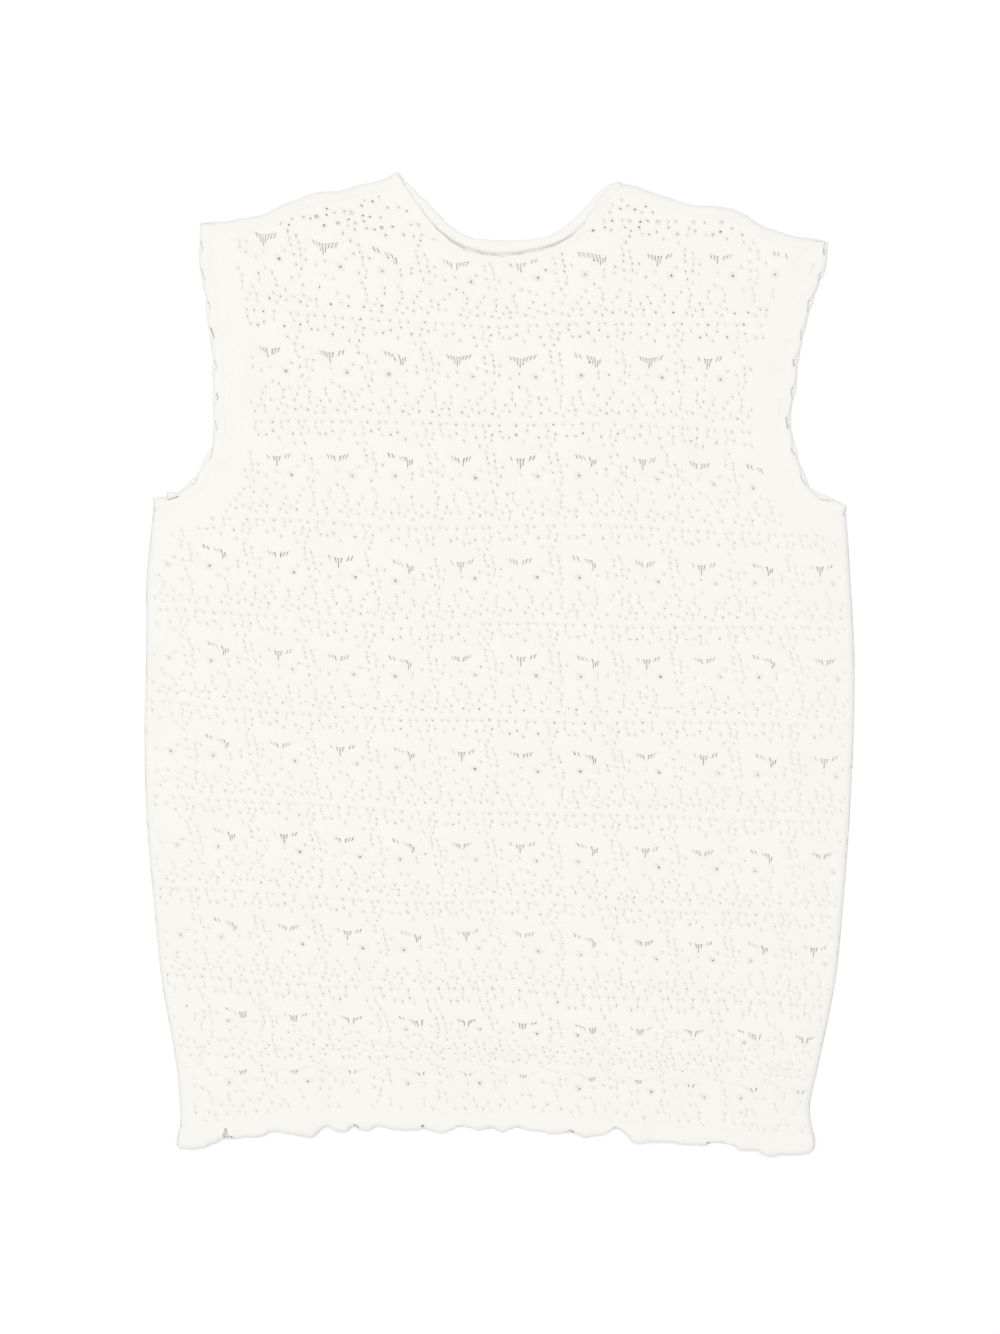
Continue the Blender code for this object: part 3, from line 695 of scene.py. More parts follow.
def lace_panel(
    names, breaks, edges, shift, openness, shape, wall, flat_under, sink, material, seed
):
    """A panel knitted from the chart, in stretches one above the other.

    edges are the lines round it with their plain borders, breaks the course lines
    between stretches, and shape gives each stitch corner its height.
    """
    luck = np.random.default_rng(seed)
    x, y = lattice(shift)
    height, width = x.shape
    corners = np.column_stack([x.ravel(), y.ravel()])
    centres = np.stack([middles(x), middles(y)], axis=-1)
    flat = centres.reshape(-1, 2)
    kept = np.ones(len(flat), dtype=bool)
    lacy = np.ones(len(flat), dtype=bool)
    near = np.full(len(corners), np.inf)
    snap = corners.copy()
    for line, border, ceiling in edges:
        depth, _ = depth_from(flat, line)
        depth[flat[:, 1] > ceiling] = np.inf
        kept &= depth > 0
        lacy &= depth > border
        depth, place = depth_from(corners, line)
        depth[corners[:, 1] > ceiling] = np.inf
        closer = np.abs(depth) < near
        near[closer] = np.abs(depth)[closer]
        snap[closer] = place[closer]
    kept = kept.reshape(height - 1, width - 1)
    lacy = lacy.reshape(height - 1, width - 1)

    # Corners with kept cells on one side only move on to the edge.
    count = np.zeros((height, width), dtype=int)
    for dj in (0, 1):
        for di in (0, 1):
            count[dj : height - 1 + dj, di : width - 1 + di] += kept
    rim = (count > 0) & (count < 4)
    x[rim] = snap[:, 0].reshape(height, width)[rim]
    y[rim] = snap[:, 1].reshape(height, width)[rim]

    # Eyelets, slits and their threads, none touching another at a corner.
    _, rows = wales_and_courses()
    marks, slits = charted()
    taken = np.zeros_like(kept)
    hollow = np.zeros_like(kept)
    shown_slits = []
    for i, first, last in slits:
        close = luck.random() > CLOSE_RISE * openness(*centres[first, i]) - CLOSE_START
        if close and last - first < 3:
            last = min(last, first + 1)
        if close and (3 * i + first) % CLOSED_ONE_IN == 0:
            continue
        around = (slice(first - 1, last + 2), slice(i - 1, i + 2))
        if lacy[around].all() and kept[around].all():
            taken[around] = True
            if centres[first, i, 0] > SHUT_X:
                shown_slits.append((i, first, last, close))
                hollow[first : last + 1, i] = True
    extra = np.isin(np.round([r for _, r, _ in rows[:-1]]), list(EXTRA_ROWS))[:, None]
    marks[(marks == ".") & extra & (luck.random(marks.shape) < EXTRA_SHARE)] = "o"
    move_x, move_y, moves = np.zeros_like(x), np.zeros_like(x), np.zeros_like(x)
    sunk = np.zeros_like(x)
    wells = []
    for j, i in zip(*np.nonzero(marks != ".")):
        mark = marks[j, i]
        tall = 2 if mark == "@" else 1
        block = (slice(j - 1, j + tall + 1), slice(i - 1, i + tall + 1))
        inside = (slice(j, j + tall), slice(i, i + tall))
        if taken[inside].any() or not lacy[block].all() or not kept[block].all():
            continue
        if mark == "o" and luck.random() < np.interp(centres[j, i, 1], DROPPED_Y, DROPPED):
            continue
        hollow[inside] = True
        taken[block] = True
        cx, cy = centres[inside].reshape(-1, 2).mean(axis=0)
        if mark == "@":
            wells.append((cx, cy, luck.uniform(*WELL_DEPTHS)))
        elif cy > CLEAR_Y and (i + j) % 2 == 0:
            wells.append((cx, cy, CLEAR_DEPTH))
        size = openness(cx, cy) * luck.uniform(*SIZES)
        turn = luck.uniform(*TURNS)
        by_welt = min(rows[j][1], COURSES - rows[j][1]) < BY_WELT
        long = luck.uniform(*(WELT_LENGTHS if by_welt else LENGTHS))
        cx, cy = cx + luck.uniform(*PLACES_X), cy + luck.uniform(*PLACES_Y)
        for dj in range(tall + 1):
            for di in range(tall + 1):
                sunk[j + dj, i + di] = SINK * RIM_SINK[mark]
                if tall == 2 and dj == 1 and di == 1:
                    continue
                if tall == 2:
                    angle = math.atan2(1 - dj, di - 1) + LARGE_TURN * turn
                    gx, gy = math.cos(angle), math.sin(angle)
                    to_x, to_y = cx + LARGE * size * gx, cy + LARGE_TALL * LARGE * size * gy
                else:
                    reach = (SMALL / long**SLIMMER, SMALL * long)
                    if mark == "O":
                        reach = (WIDE * WIDE_PULL, WIDE * WIDE_PULL)
                    ax, ay = x[j + dj, i + di] - cx, y[j + dj, i + di] - cy
                    to_x = cx + size * (reach[0] * ax - turn * reach[0] * ay)
                    to_y = cy + size * (reach[1] * ay + turn * reach[0] * ax)
                move_x[j + dj, i + di] += to_x - x[j + dj, i + di]
                move_y[j + dj, i + di] += to_y - y[j + dj, i + di]
                moves[j + dj, i + di] += 1
    moved = moves > 0
    x[moved] += move_x[moved] / moves[moved]
    y[moved] += move_y[moved] / moves[moved]
    free = ~moved & ~rim
    x[free] += luck.uniform(-UNEVEN_X, UNEVEN_X, free.sum())
    y[free] += luck.uniform(-UNEVEN_Y, UNEVEN_Y, free.sum())

    row = np.array([r for _, r, _ in rows])[:, None] + np.zeros_like(x)
    x3, y3, z3 = shape(x, y, row, spread(hollow, 2), near.reshape(height, width), luck)
    points = np.column_stack([x3.ravel(), y3.ravel(), (z3 - sunk * sink).ravel()])
    wale_numbers = np.tile(np.arange(width), height)
    course_numbers = np.repeat(-np.arange(height), width)
    number = np.arange(height * width).reshape(height, width)

    pieces = []
    for name, top, bottom in zip(names, breaks, breaks[1:]):
        solid = kept & ~hollow
        solid[:top] = False
        solid[bottom:] = False
        js, iz = np.nonzero(solid)
        quads = np.column_stack(
            [number[js, iz], number[js + 1, iz], number[js + 1, iz + 1], number[js, iz + 1]]
        ).tolist()
        tall_faces = []
        threads = []
        for i, first, last, close in shown_slits:
            if top <= first and last < bottom:
                thread = CLOSE_THREAD if close else THREAD
                narrowest = (x3[first : last + 2, i + 1] - x3[first : last + 2, i]).min()
                threads.append(min(thread, THREAD_SHARE * narrowest) // THREAD_STEP)
                left = [number[j, i] for j in range(first, last + 2)]
                right = [number[j, i + 1] for j in range(last + 1, first - 1, -1)]
                tall_faces.append(left + right)
        used = np.concatenate([np.ravel(quads), np.concatenate(tall_faces)])
        used = np.unique(used.astype(int))
        new_number = np.zeros(len(points), dtype=int)
        new_number[used] = np.arange(len(used))
        quads = new_number[np.array(quads, dtype=int)].tolist()
        tall_faces = [new_number[np.array(face, dtype=int)].tolist() for face in tall_faces]
        stitches = np.column_stack([wale_numbers, course_numbers])[used]
        piece = sheet_object(name, points[used], quads + tall_faces, stitches, material)
        open_slits(piece, len(quads), np.array(threads))
        thicken(piece, wall, flat_under)
        crisp(piece, (-top, -bottom))
        pieces.append(piece)
    return pieces, wells


EDGE_STEP = 7.0
# Widths of the edgings and seams, how far a panel reaches in under each, and
# how far short of the sides the back stops.
OVERLAP = 1.2
ARMHOLE_TRIM, NECK_TRIM, HEM_TRIM, SHOULDER_SEAM = 6.0, 4.4, 9.0, 7.5
BACK_INSET = 5.3
# Plain knitting along each edge.
FRONT_BORDER, BACK_BORDER = 4.0, 2.0
ARMHOLE_BORDER, SHOULDER_BORDER, NECK_BORDER, HEM_BORDER = 17.0, 1.5, 0.3, 2.0
UNDERARM = 114.0
ANYWHERE = math.inf

side_right = smooth_line([(right, y) for y, _, right in SIDES], EDGE_STEP)
side_left = smooth_line([(left, y) for y, left, _ in SIDES], EDGE_STEP)[::-1]
hem, armhole_right, armhole_left, shoulder_right, shoulder_left = (
    smooth_line(edge, EDGE_STEP)
    for edge in (HEM, ARMHOLE_RIGHT, ARMHOLE_LEFT, SHOULDER_RIGHT, SHOULDER_LEFT)
)
neck_front, neck_back = (smooth_line(edge, EDGE_STEP) for edge in (NECK_FRONT, NECK_BACK))


def panel_edges(neck, side_inset, side_border):
    """The lines round a panel, each where the piece along it covers its edge.

    Each has its plain border and the height above which it doesn't count.
    """
    rim = (
        (hem, HEM_TRIM - OVERLAP, HEM_BORDER, ANYWHERE),
        (side_right, side_inset, side_border, UNDERARM),
        (armhole_right, ARMHOLE_TRIM - OVERLAP, ARMHOLE_BORDER, ANYWHERE),
        (shoulder_right, SHOULDER_SEAM - OVERLAP, SHOULDER_BORDER, ANYWHERE),
        (neck, NECK_TRIM - OVERLAP, NECK_BORDER, ANYWHERE),
        (shoulder_left, SHOULDER_SEAM - OVERLAP, SHOULDER_BORDER, ANYWHERE),
        (armhole_left, ARMHOLE_TRIM - OVERLAP, ARMHOLE_BORDER, ANYWHERE),
        (side_left, side_inset, side_border, UNDERARM),
    )
    return [(inset(line, far_in), border, ceiling) for line, far_in, border, ceiling in rim]


SLOW_WAVES = (
    # length, turn, height, phase
    (29.0, 12.0, 0.10, 0.4),
    (17.0, 71.0, 0.07, 2.1),
    (11.0, -38.0, 0.06, 4.0),
    (41.0, -80.0, 0.09, 1.2),
)


knit_yarn = knitting("lace_yarn", (0.868, 0.86, 0.825))
_, course_rows = wales_and_courses()
# The course line at which both panels are parted into two stretches.
SPLIT_BAND, SPLIT_ROW = 4, 31
SPLIT = next(
    k
    for k, (band, row, _) in enumerate(course_rows)
    if band == SPLIT_BAND and row >= SPLIT_ROW
)
LIFTS = (
    # x, y, along, across, turn, height
    (-118.0, 250.0, 70.0, 30.0, 18.0, 1.1),
    (135.0, 245.0, 75.0, 28.0, -24.0, 1.3),
    (-20.0, 150.0, 120.0, 34.0, 4.0, 0.8),
    (-140.0, 60.0, 80.0, 26.0, -12.0, 1.2),
    (150.0, 40.0, 70.0, 30.0, 15.0, 1.0),
    (20.0, -40.0, 110.0, 30.0, -5.0, 0.9),
    (-110.0, -130.0, 90.0, 26.0, 8.0, 1.2),
    (120.0, -165.0, 80.0, 24.0, -14.0, 1.3),
    (-60.0, -255.0, 90.0, 18.0, 3.0, 1.0),
    (130.0, -275.0, 50.0, 16.0, -6.0, 1.1),
    (184.5, -263.0, 16.0, 5.0, -10.0, -1.4),
    (-57.0, 316.0, 11.0, 1.6, -22.0, -0.8),
)
# Radius of the roll at each side, and how much of the front's width it takes up.
TURN = 3.9
TURN_SLACK = TURN * (math.pi / 2 - 1)
FRONT_TOP, FRONT_WALL = 4.0, 1.2
WELT_HEIGHT, WELT_ROW, WELT_WIDTH, WELT_FADE = 0.27, 33.3, 1.2, 4
# Lifts die away this near an edge, lace sags by its holes, and no stitch is even.
LIFT_FADE, FRONT_SAG, FRONT_UNEVEN = 30.0, 0.4, 0.05
ROLL_TOP = UNDERARM + 12.0
# The panel sinks a little where an edging or a seam covers its edge.
EDGE_DIP, EDGE_DIP_WIDTH = 0.3, 3.0


def humps(x, y, table):
    """Sum of long soft humps: place, half lengths, turn in degrees and height."""
    found = np.zeros_like(x)
    for cx, cy, length, across, turn, height in table:
        u, v = turned(x - cx, y - cy, turn)
        u, v = u / length, v / across
        found += height * np.exp(-HUMP_FALL * (u * u + v * v))
    return found


def front_shape(x, y, row, holes, near, luck):
    """Height of the front's outer face, with its welts, and the roll at each side."""
    flat = np.column_stack([x.ravel(), y.ravel()])
    fade = np.clip(near / LIFT_FADE, 0.0, 1.0) ** 2
    z = FRONT_TOP + (humps(x, y, LIFTS) + ripples(x, y, SLOW_WAVES)) * fade
    from_welt = np.minimum(np.abs(row - WELT_ROW), np.abs(row + COURSES - WELT_ROW))
    z += WELT_HEIGHT * np.exp(-((from_welt / WELT_WIDTH) ** 2)) * np.clip(WELT_FADE * fade, 0, 1)
    z -= EDGE_DIP * np.clip(1 - near / EDGE_DIP_WIDTH, 0, 1)
    z += -FRONT_SAG * holes + luck.uniform(-FRONT_UNEVEN, FRONT_UNEVEN, x.shape)
    for line, sign in ((side_left, 1.0), (side_right, -1.0)):
        depth, _ = depth_from(flat, line)
        depth = depth.reshape(x.shape) + TURN_SLACK
        angle = np.clip(math.pi / 2 - depth / TURN, 0.0, math.pi / 2)
        angle[y > ROLL_TOP] = 0.0
        reach = TURN * (1 - np.sin(angle))
        x = np.where(angle > 0, x + sign * (reach - depth + TURN_SLACK), x)
        z = z - TURN * (1 - np.cos(angle))
    return x, y, np.maximum(z, UNDERSIDE)


# How wide the lace is pulled open, up the vest and across it.
OPEN_Y = (-320.0, -100.0, 100.0, 170.0, 225.0, 262.0, 286.0, 302.0)
OPEN_HIGH = (0.48, 0.53, 0.57, 0.68, 0.78, 0.68, 0.8, 1.3)
OPEN_X = (-230.0, -150.0, 0.0, 130.0, 230.0)
OPEN_ACROSS = (0.66, 0.92, 0.98, 0.9, 0.44)


def front_openness(cx, cy):
    """The lace is pulled wide over the chest and lies closer at the sides and below."""
    return np.interp(cy, OPEN_Y, OPEN_HIGH) * np.interp(cx, OPEN_X, OPEN_ACROSS)


(front_upper, front_lower), wells = lace_panel(
    ("front_panel_upper", "front_panel_lower"),
    (0, SPLIT, len(course_rows)),
    panel_edges(neck_front, -TURN_SLACK, FRONT_BORDER),
    shift=(0.0, 0.0),
    openness=front_openness,
    shape=front_shape,
    wall=FRONT_WALL,
    flat_under=False,
    sink=1.0,
    material=knit_yarn,
    seed=7,
)
for piece in (front_upper, front_lower):
    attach(piece, "root")
    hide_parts("front_panel")

# ------------
# Back panel: the same openwork in off-white yarn, higher at the neck. It lies
# flat on the surface, and sinks away under the front's neck edge, its large
# eyelets and every second eyelet by its shoulders.
# ------------
BACK_TOP, BACK_WALL = 2.4, 0.8
NECK_GROOVE, NECK_GROOVE_WIDTH = 1.5, 3.6
WELL, WELL_WIDTH = 1.5, 2.4
BACK_OPENNESS = 0.62
BACK_SAG, BACK_WAVES, BACK_UNEVEN = 0.3, 0.6, 0.04
# By the neck, above this y, its edge drops under the edging too.
NECK_Y, RIM_DROP, RIM_WIDTH = 270.0, 0.6, 3.0


def back_shape(x, y, row, holes, near, luck):
    """The back lies flat on the surface; its upper face rises and falls a little."""
    z = BACK_TOP - BACK_SAG * holes + BACK_WAVES * ripples(x, y, SLOW_WAVES)
    z += luck.uniform(-BACK_UNEVEN, BACK_UNEVEN, x.shape)
    from_front, _ = depth_from(np.column_stack([x.ravel(), y.ravel()]), neck_front)
    from_front = from_front.reshape(x.shape)
    z -= NECK_GROOVE * np.exp(-((from_front / NECK_GROOVE_WIDTH) ** 2)) * (y > NECK_Y)
    z -= RIM_DROP * np.clip(RIM_WIDTH - near, 0.0, 1.0) * (y > NECK_Y)
    for cx, cy, depth in wells:
        z -= WELL * depth * np.exp(-((x - cx) ** 2 + (y - cy) ** 2) / WELL_WIDTH**2)
    return x, y, np.maximum(z, BACK_WALL + UNDERSIDE)


# The back's yarn is painted a little warmer than the front's: a painted tint for the warm shade
# seen through the front's openings.
back_yarn_warm_shade = knitting("back_lace_yarn_painted_warm_shade", (0.858, 0.84, 0.775))
(back_upper, back_lower), _ = lace_panel(
    ("back_panel_upper", "back_panel_lower"),
    (0, SPLIT, len(course_rows)),
    panel_edges(neck_back, BACK_INSET, BACK_BORDER),
    shift=(7.3, -5.1),
    openness=lambda cx, cy: BACK_OPENNESS,
    shape=back_shape,
    wall=BACK_WALL,
    flat_under=True,
    sink=0.5,
    material=back_yarn_warm_shade,
    seed=41,
)
for piece in (back_upper, back_lower):
    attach(piece, "root")
    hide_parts("back_panel")

# ------------
# Shoulder seams: front and back knitted together, a plain band that rolls
# over from the front down to the surface.
# ------------
BAND_STEP, BAND_WALL = 1.5, 1.2


def band(
    name, line, section, lobes, rise, material, gaps=(), wall=BAND_WALL, lean=None, reach=None
):
    """A knitted band along an edge, one line of stitches for each row of section.

    section rows give how far in from the edge, the height, and the shares of the
    lobes and of the rise that this row takes. gaps are open cells (station, row),
    lean slants the rows along the line, and reach scales how far in they go.
    """
    inwards = inward(line)
    onwards = np.column_stack([inwards[:, 1], -inwards[:, 0]])
    lean = np.zeros(len(line)) if lean is None else lean
    reach = np.ones(len(line)) if reach is None else reach
    length = along(line)
    points = []
    stitches = []
    for k, (point, normal) in enumerate(zip(line, inwards)):
        for m, (distance, height, lobe_share, rise_share) in enumerate(section):
            place = point + normal * (distance * reach[k] - lobes[k] * lobe_share)
            place = place + onwards[k] * distance * lean[k]
            points.append((*place, height + rise[k] * rise_share))
            stitches.append((length[k] / STITCH_WIDE, m))
    count = len(section)
    faces = []
    open_cells = set(gaps)
    for k in range(len(line) - 1):
        for m in range(count - 1):
            if (k, m) not in open_cells:
                a, b = k * count + m, (k + 1) * count + m
                faces.append((a, a + 1, b + 1, b))
    piece = sheet_object(name, points, faces, stitches, material)
    pick(piece)
    bpy.ops.object.mode_set(mode="EDIT")
    bpy.ops.mesh.select_all(action="DESELECT")
    bpy.ops.mesh.select_loose()
    bpy.ops.mesh.delete(type="VERT")
    bpy.ops.object.mode_set(mode="OBJECT")
    thicken(piece, wall)
    return piece


def waver(base, length, waves):
    """A base with small uneven waves on it: the height, length and phase of each."""
    for height, wave, phase in waves:
        base = base + height * np.sin(length / wave + phase)
    return base


SEAM_EDGE_WAVES = ((0.35, 4.1, 0.0), (0.25, 9.7, 1.0))
SEAM_WAVES = ((0.25, 6.3, 0.0),)
SHOULDER_SECTION = (
    # in from the edge, height, lobe share, rise share
    (10.4, 3.5, 0.0, 0.0), (8.6, 3.82, 0.0, 0.1), (6.8, 4.02, 0.0, 0.5),
    (5.2, 4.12, 0.0, 1.0), (3.8, 4.05, 0.0, 0.9), (2.6, 3.75, 0.2, 0.7),
    (1.5, 3.2, 0.5, 0.4), (0.6, 2.3, 0.8, 0.2), (0.1, 1.3, 1.0, 0.0),
    (0.7, 0.3, 1.0, 0.0),
)
seam_yarn = knitting("seam_yarn", (0.86, 0.849, 0.816))
for side, edge in (("left", SHOULDER_LEFT), ("right", SHOULDER_RIGHT)):
    line = smooth_line(edge, BAND_STEP)
    length = along(line)
    seam = band(
        f"shoulder_seam_{side}_knit",
        line,
        SHOULDER_SECTION,
        waver(0.0, length, SEAM_EDGE_WAVES),
        waver(0.0, length, SEAM_WAVES),
        seam_yarn,
    )
    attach(seam, "root")
    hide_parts(f"shoulder_seam_{side}")

# ------------
# Neck edging: a thin ring knitted on round the neck and cast off with small
# picots. A thin shade parts its front stretch from the back stretch behind it.
# ------------
edging_yarn = knitting("edging_yarn", (0.866, 0.857, 0.822))
NECK_PICOT, NECK_LOBE = 6.2, 0.55
NECK_FRONT_SECTION = (
    (6.4, 3.5, 0.0, 0.0), (5.0, 3.82, 0.0, 0.1), (3.8, 4.02, 0.0, 0.4),
    (2.4, 4.2, 0.3, 1.0), (1.3, 4.2, 0.7, 0.8), (0.6, 3.9, 0.9, 0.5),
    (0.15, 3.4, 1.0, 0.2), (0.2, 2.9, 1.0, 0.0), (0.8, 2.6, 1.0, 0.0),
)
NECK_BACK_SECTION = (
    (9.2, 1.0, 0.0, 1.0), (8.8, 1.1, 0.0, 0.95), (8.3, 1.6, 0.0, 0.6),
    (7.6, 2.15, 0.0, 0.25), (6.6, 2.45, 0.0, 0.0), (5.2, 2.5, 0.0, 0.0),
    (3.8, 2.5, 0.1, 0.0), (2.4, 2.45, 0.4, 0.0), (1.4, 2.3, 0.7, 0.0),
    (0.7, 1.95, 0.9, 0.0), (0.25, 1.4, 1.0, 0.0), (0.2, 0.8, 1.0, 0.0),
    (0.8, 0.3, 1.0, 0.0),
)
# The shade between the two stretches: its width, less than nothing where they
# overlap, how far the front is drawn back for it, and where it lies.
SLOT, TUCKED, DRAWN_BACK = 0.5, -1.4, 0.7
SLOT_MIDDLE, SLOT_HALF, SLOT_FADE = 4.0, 56.0, 26.0
SLOT_WAVE, SLOT_WAVE_LENGTH = 0.1, 4.3
# Beside the shade, the back stretch's inner rows rise to meet the front.
NECK_LIFT, NECK_BACK_WALL = 1.4, 0.5
NARROWEST, WIDEST = 0.35, 1.1
NECK_WAVES = ((0.15, 3.1, 0.0), (0.1, 8.3, 0.0))
for name, edge, section, lift, thickness in (
    ("front", NECK_FRONT, NECK_FRONT_SECTION, 0.0, BAND_WALL),
    ("back", NECK_BACK, NECK_BACK_SECTION, NECK_LIFT, NECK_BACK_WALL),
):
    line = smooth_line(edge, BAND_STEP)
    length = along(line)
    slotted = np.clip((SLOT_HALF - np.abs(line[:, 0] - SLOT_MIDDLE)) / SLOT_FADE, 0, 1)
    slot = TUCKED + (SLOT - TUCKED) * slotted
    slot = slot + SLOT_WAVE * np.sin(length / SLOT_WAVE_LENGTH) * slotted
    strip = np.abs(depth_from(line, neck_front)[0]) - slot
    deepest = section[0][0]
    picots = NECK_LOBE * np.abs(np.sin(np.pi * length / (2 * NECK_PICOT)))
    neck = band(
        f"neck_edging_{name}_knit",
        line,
        section,
        picots - (DRAWN_BACK * slotted if name == "front" else 0.0),
        waver(lift * (1 - slotted), length, NECK_WAVES),
        edging_yarn,
        wall=thickness,
        reach=np.clip(strip / deepest, NARROWEST, WIDEST) if name == "back" else None,
    )
    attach(neck, "root")
    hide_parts(f"neck_edging_{name}")

# ------------
# Armhole edgings: a ring round each armhole whose cast-off edge curls in
# shallow scallops, with a short slit where one scallop laps the next.
# ------------
ARM_SCALLOP, ARM_LOBE, ARM_IN = 20.5, 1.8, 0.3
ARM_FRONT_PHASE, ARM_BACK_PHASE = 0.15, 0.55
ARM_WAVES = ((0.2, 3.7, 0.0), (0.15, 7.9, 0.0))
# The back's stretch shows past the front's, most at the underarm, where it
# starts a little way in.
PEEK, UNDERARM_PEEK, PEEK_FADE = 0.8, 2.4, 35.0
ARM_BACK_START = BACK_INSET + 3.0
# How one lobe differs from the next, and how round they are.
LOBE_UNEVEN, LOBE_CHANGE, LOBE_ROUND = 0.25, 2.4, 0.7
ARM_SLITS = (
    # stations long, section rows
    (4, (6,)),
    (5, (6,)),
    (3, (6,)),
    (5, (5,)),
    (4, (6,)),
    (3, (5,)),
)
ARM_FRONT_SECTION = (
    (8.6, 3.5, 0.0, 0.0), (7.0, 3.8, 0.0, 0.1), (5.5, 4.04, 0.0, 0.3),
    (3.9, 4.2, 0.1, 1.0), (2.7, 4.2, 0.35, 1.0), (1.7, 4.0, 0.7, 0.8),
    (0.9, 3.65, 0.9, 0.5), (0.3, 3.1, 1.0, 0.2), (0.2, 2.6, 1.0, 0.0),
    (0.8, 2.3, 1.0, 0.0),
)
ARM_BACK_SECTION = (
    (7.4, 1.8, 0.0, 0.0), (5.6, 2.05, 0.0, 0.0), (3.9, 2.1, 0.0, 0.0),
    (2.4, 2.05, 0.3, 0.0), (1.2, 1.8, 0.8, 0.0), (0.4, 1.3, 1.0, 0.0),
    (0.2, 0.7, 1.0, 0.0), (0.8, 0.3, 1.0, 0.0),
)


def scallops(length, pitch, lobe, phase):
    """Rounded lobes along an edge, each a little different from the next."""
    turn = length / pitch + phase
    uneven = 1 + LOBE_UNEVEN * np.sin(LOBE_CHANGE * np.floor(turn) + 1.0)
    return lobe * uneven * np.abs(np.sin(np.pi * turn)) ** LOBE_ROUND


def notch_gaps(length, pitch, phase):
    """Open cells at the notches between scallops, one slit longer than the next."""
    found = []
    turn = length / pitch + phase
    for count, k in enumerate(np.nonzero(np.diff(np.floor(turn)) > 0)[0]):
        cells, rows = ARM_SLITS[count % len(ARM_SLITS)]
        found += [(int(k) + step, row) for row in rows for step in range(-cells + 1, 1)]
    return found


for side, edge in (("left", ARMHOLE_LEFT), ("right", ARMHOLE_RIGHT)):
    line = smooth_line(edge, BAND_STEP)
    length = along(line)
    from_underarm = length if side == "right" else length[-1] - length
    front_edging = band(
        f"armhole_edging_{side}_front_knit",
        line,
        ARM_FRONT_SECTION,
        scallops(length, ARM_SCALLOP, ARM_LOBE, ARM_FRONT_PHASE) - ARM_IN,
        waver(0.0, length, ARM_WAVES),
        edging_yarn,
        notch_gaps(length, ARM_SCALLOP, ARM_FRONT_PHASE),
    )
    peek = PEEK + UNDERARM_PEEK * np.exp(-from_underarm / PEEK_FADE)
    line_back = line - inward(line) * peek[:, None]
    shown = from_underarm > ARM_BACK_START
    back_edging = band(
        f"armhole_edging_{side}_back_knit",
        line_back[shown],
        ARM_BACK_SECTION,
        scallops(length, ARM_SCALLOP, ARM_LOBE, ARM_BACK_PHASE)[shown] - ARM_IN,
        np.zeros(shown.sum()),
        edging_yarn,
    )
    for layer, piece in (("front", front_edging), ("back", back_edging)):
        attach(piece, "root")
        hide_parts(f"armhole_edging_{side}_{layer}")

# ------------
# Hem edging: a deeper scalloped border that curls, so that its lobes stand
# up and turn under at their ends, with a gap at some of the notches.
# ------------
# Where the hem's lobes and notches stand, and how far out each one reaches.
HEM_LOBES = (
    # x, out
    (-221.0, 0.6), (-218.9, 3.2), (-212.0, 5.4), (-206.0, 5.6), (-197.0, 3.6),
    (-187.5, 1.6), (-172.0, 2.8), (-166.0, 3.2), (-154.0, 1.4), (-129.5, 7.2),
    (-118.8, 1.0), (-106.5, 5.0), (-99.4, 1.2), (-91.5, 3.8), (-83.0, 0.9),
    (-63.5, 3.1), (-52.0, 1.2), (-42.0, 3.8), (-24.0, -1.0), (-12.0, 1.6),
    (-5.8, -0.8), (2.4, 2.4), (12.0, -1.4), (24.0, 1.2), (39.0, 2.4),
    (48.8, 0.5), (60.0, 3.6), (69.0, 1.4), (79.6, -4.0), (96.0, 5.4),
    (106.0, 2.6), (123.0, 2.3), (137.0, 2.5), (148.0, -1.4), (160.0, -0.4),
    (166.0, 2.6), (176.6, 1.7), (185.0, 5.3), (198.0, 2.8), (206.0, 2.9),
    (211.0, 2.2), (214.5, -2.0),
)
HEM_FRONT_SECTION = (
    (12.4, 3.4, 0.0, 0.0), (10.9, 3.74, 0.0, 0.1), (9.3, 3.96, 0.0, 0.2),
    (7.8, 4.1, 0.0, 0.4), (6.2, 4.2, 0.1, 0.6), (5.0, 4.35, 0.3, 0.8),
    (3.8, 4.45, 0.5, 1.0), (2.7, 4.4, 0.7, 1.0), (1.7, 4.1, 0.85, 0.9),
    (0.9, 3.6, 1.0, 0.6), (0.35, 2.9, 1.0, 0.3), (0.4, 2.2, 1.0, 0.1),
    (1.2, 1.8, 1.0, 0.0),
)
HEM_BACK_SECTION = (
    (11.3, 1.8, 0.0, 0.0), (8.8, 1.9, 0.0, 0.0), (6.4, 1.9, 0.1, 0.0),
    (4.0, 1.9, 0.4, 0.0), (2.2, 1.8, 0.7, 0.0), (1.0, 1.4, 1.0, 0.0),
    (0.4, 0.8, 1.0, 0.0), (1.0, 0.25, 1.0, 0.0),
)
# Gaps at notches: place, how many stations wide, and the section rows they open.
HEM_GAPS = (
    # x, stations, rows
    (-188.4, 4, (8, 9)),
    (-187.2, 2, (6, 7)),
    (-186.0, 1, (4, 5)),
    (-99.0, 2, (8, 9)),
    (-52.0, 1, (7, 8)),
    (48.0, 2, (8, 9)),
    (78.0, 1, (7, 8)),
    (143.0, 1, (8, 9)),
)
HEM_SCALLOP, HEM_LOBE, HEM_BACK_PHASE = 17.0, 1.4, 0.75
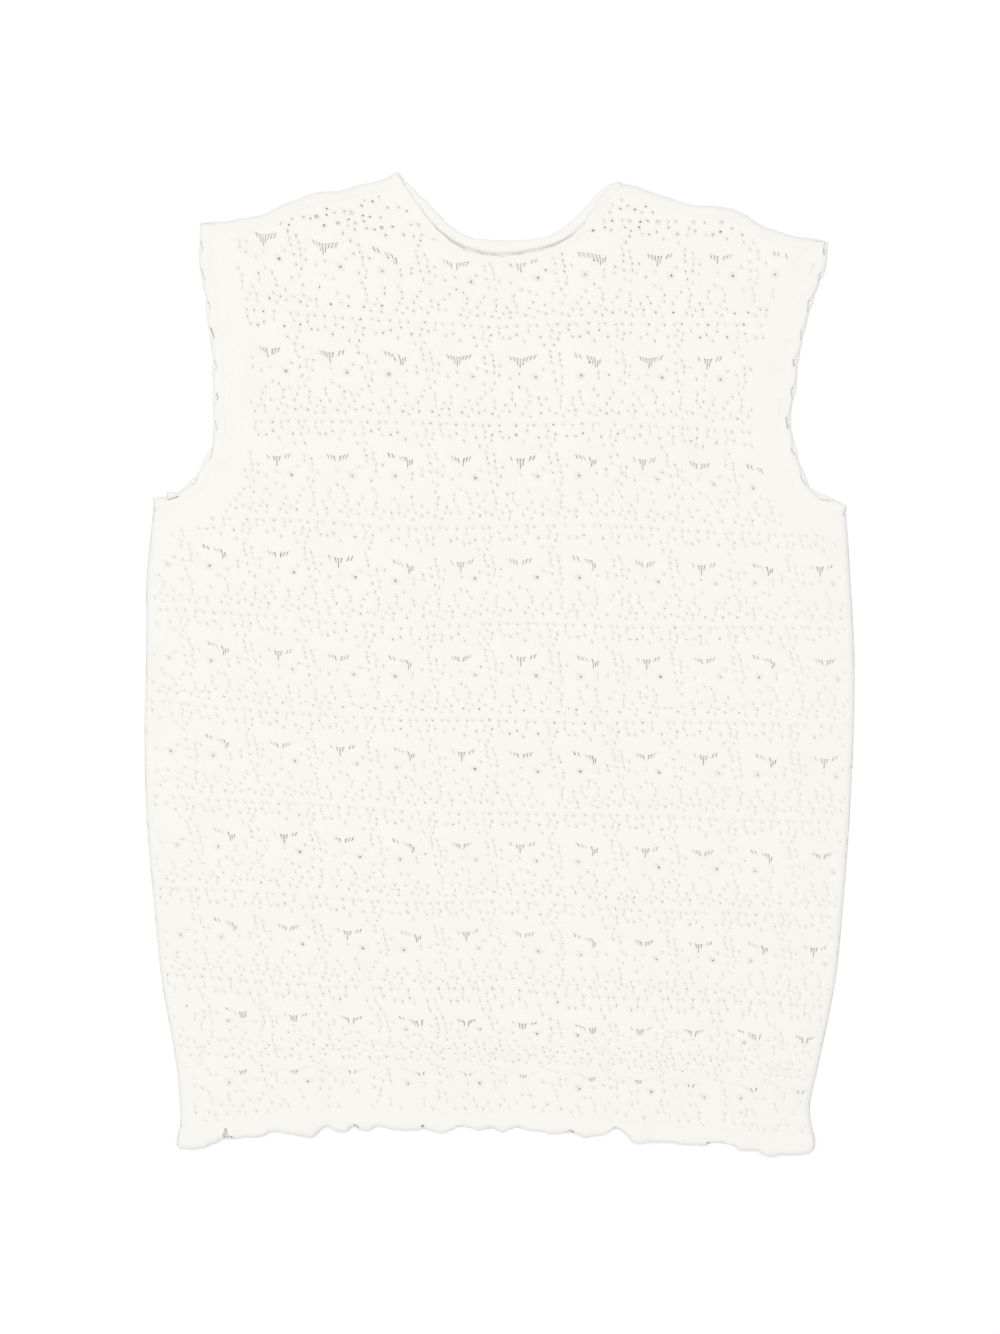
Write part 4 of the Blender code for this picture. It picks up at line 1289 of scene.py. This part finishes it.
# How far in from its table of lobes the edge lies, and how it waves and rises.
HEM_IN, HEM_BACK_IN, HEM_BACK_FOLLOWS = 0.3, 0.4, 1.2
HEM_EDGE_WAVES = ((0.3, 1.3, 0.0), (0.35, 2.9, 1.0))
HEM_RISE, HEM_LOWEST, HEM_WAVES = 0.22, -0.5, ((0.2, 3.3, 0.0),)
# Rows slant at the corners, and the back's stretch starts some stations in.
LEAN_LEFT, LEAN_RIGHT, LEAN_FADE = 0.36, 0.05, 9.0
HEM_BACK_STATIONS = slice(8, -8)
line = smooth_line(HEM, BAND_STEP)
length = along(line)
lobes_x, lobes_out = np.array(HEM_LOBES).T
where = np.interp(line[:, 0], lobes_x, np.arange(len(lobes_x)))
share = (1 - np.cos(np.pi * (where - np.floor(where)))) / 2
outer = lobes_out[np.floor(where).astype(int)]
hem_reach = outer + share * (lobes_out[np.ceil(where).astype(int)] - outer)
hem_front = band(
    "hem_edging_front_knit",
    line,
    HEM_FRONT_SECTION,
    waver(hem_reach - HEM_IN, length, HEM_EDGE_WAVES),
    waver(HEM_RISE * np.maximum(hem_reach, HEM_LOWEST), length, HEM_WAVES),
    edging_yarn,
    [
        (k + step, row)
        for place, steps, rows in HEM_GAPS
        for k in np.nonzero(np.diff(np.sign(line[:, 0] - place)))[0]
        for step in range(steps)
        for row in rows
    ],
    lean=LEAN_LEFT * np.exp(-length / LEAN_FADE)
    - LEAN_RIGHT * np.exp(-(length[-1] - length) / LEAN_FADE),
)
back_reach = scallops(length, HEM_SCALLOP, HEM_LOBE, HEM_BACK_PHASE)
back_reach = back_reach + HEM_BACK_FOLLOWS * np.minimum(hem_reach, 0.0)
hem_back = band(
    "hem_edging_back_knit",
    line[HEM_BACK_STATIONS],
    HEM_BACK_SECTION,
    back_reach[HEM_BACK_STATIONS] - HEM_BACK_IN,
    np.zeros(len(line[HEM_BACK_STATIONS])),
    edging_yarn,
)
for layer, piece in (("front", hem_front), ("back", hem_back)):
    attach(piece, "root")
    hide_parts(f"hem_edging_{layer}")
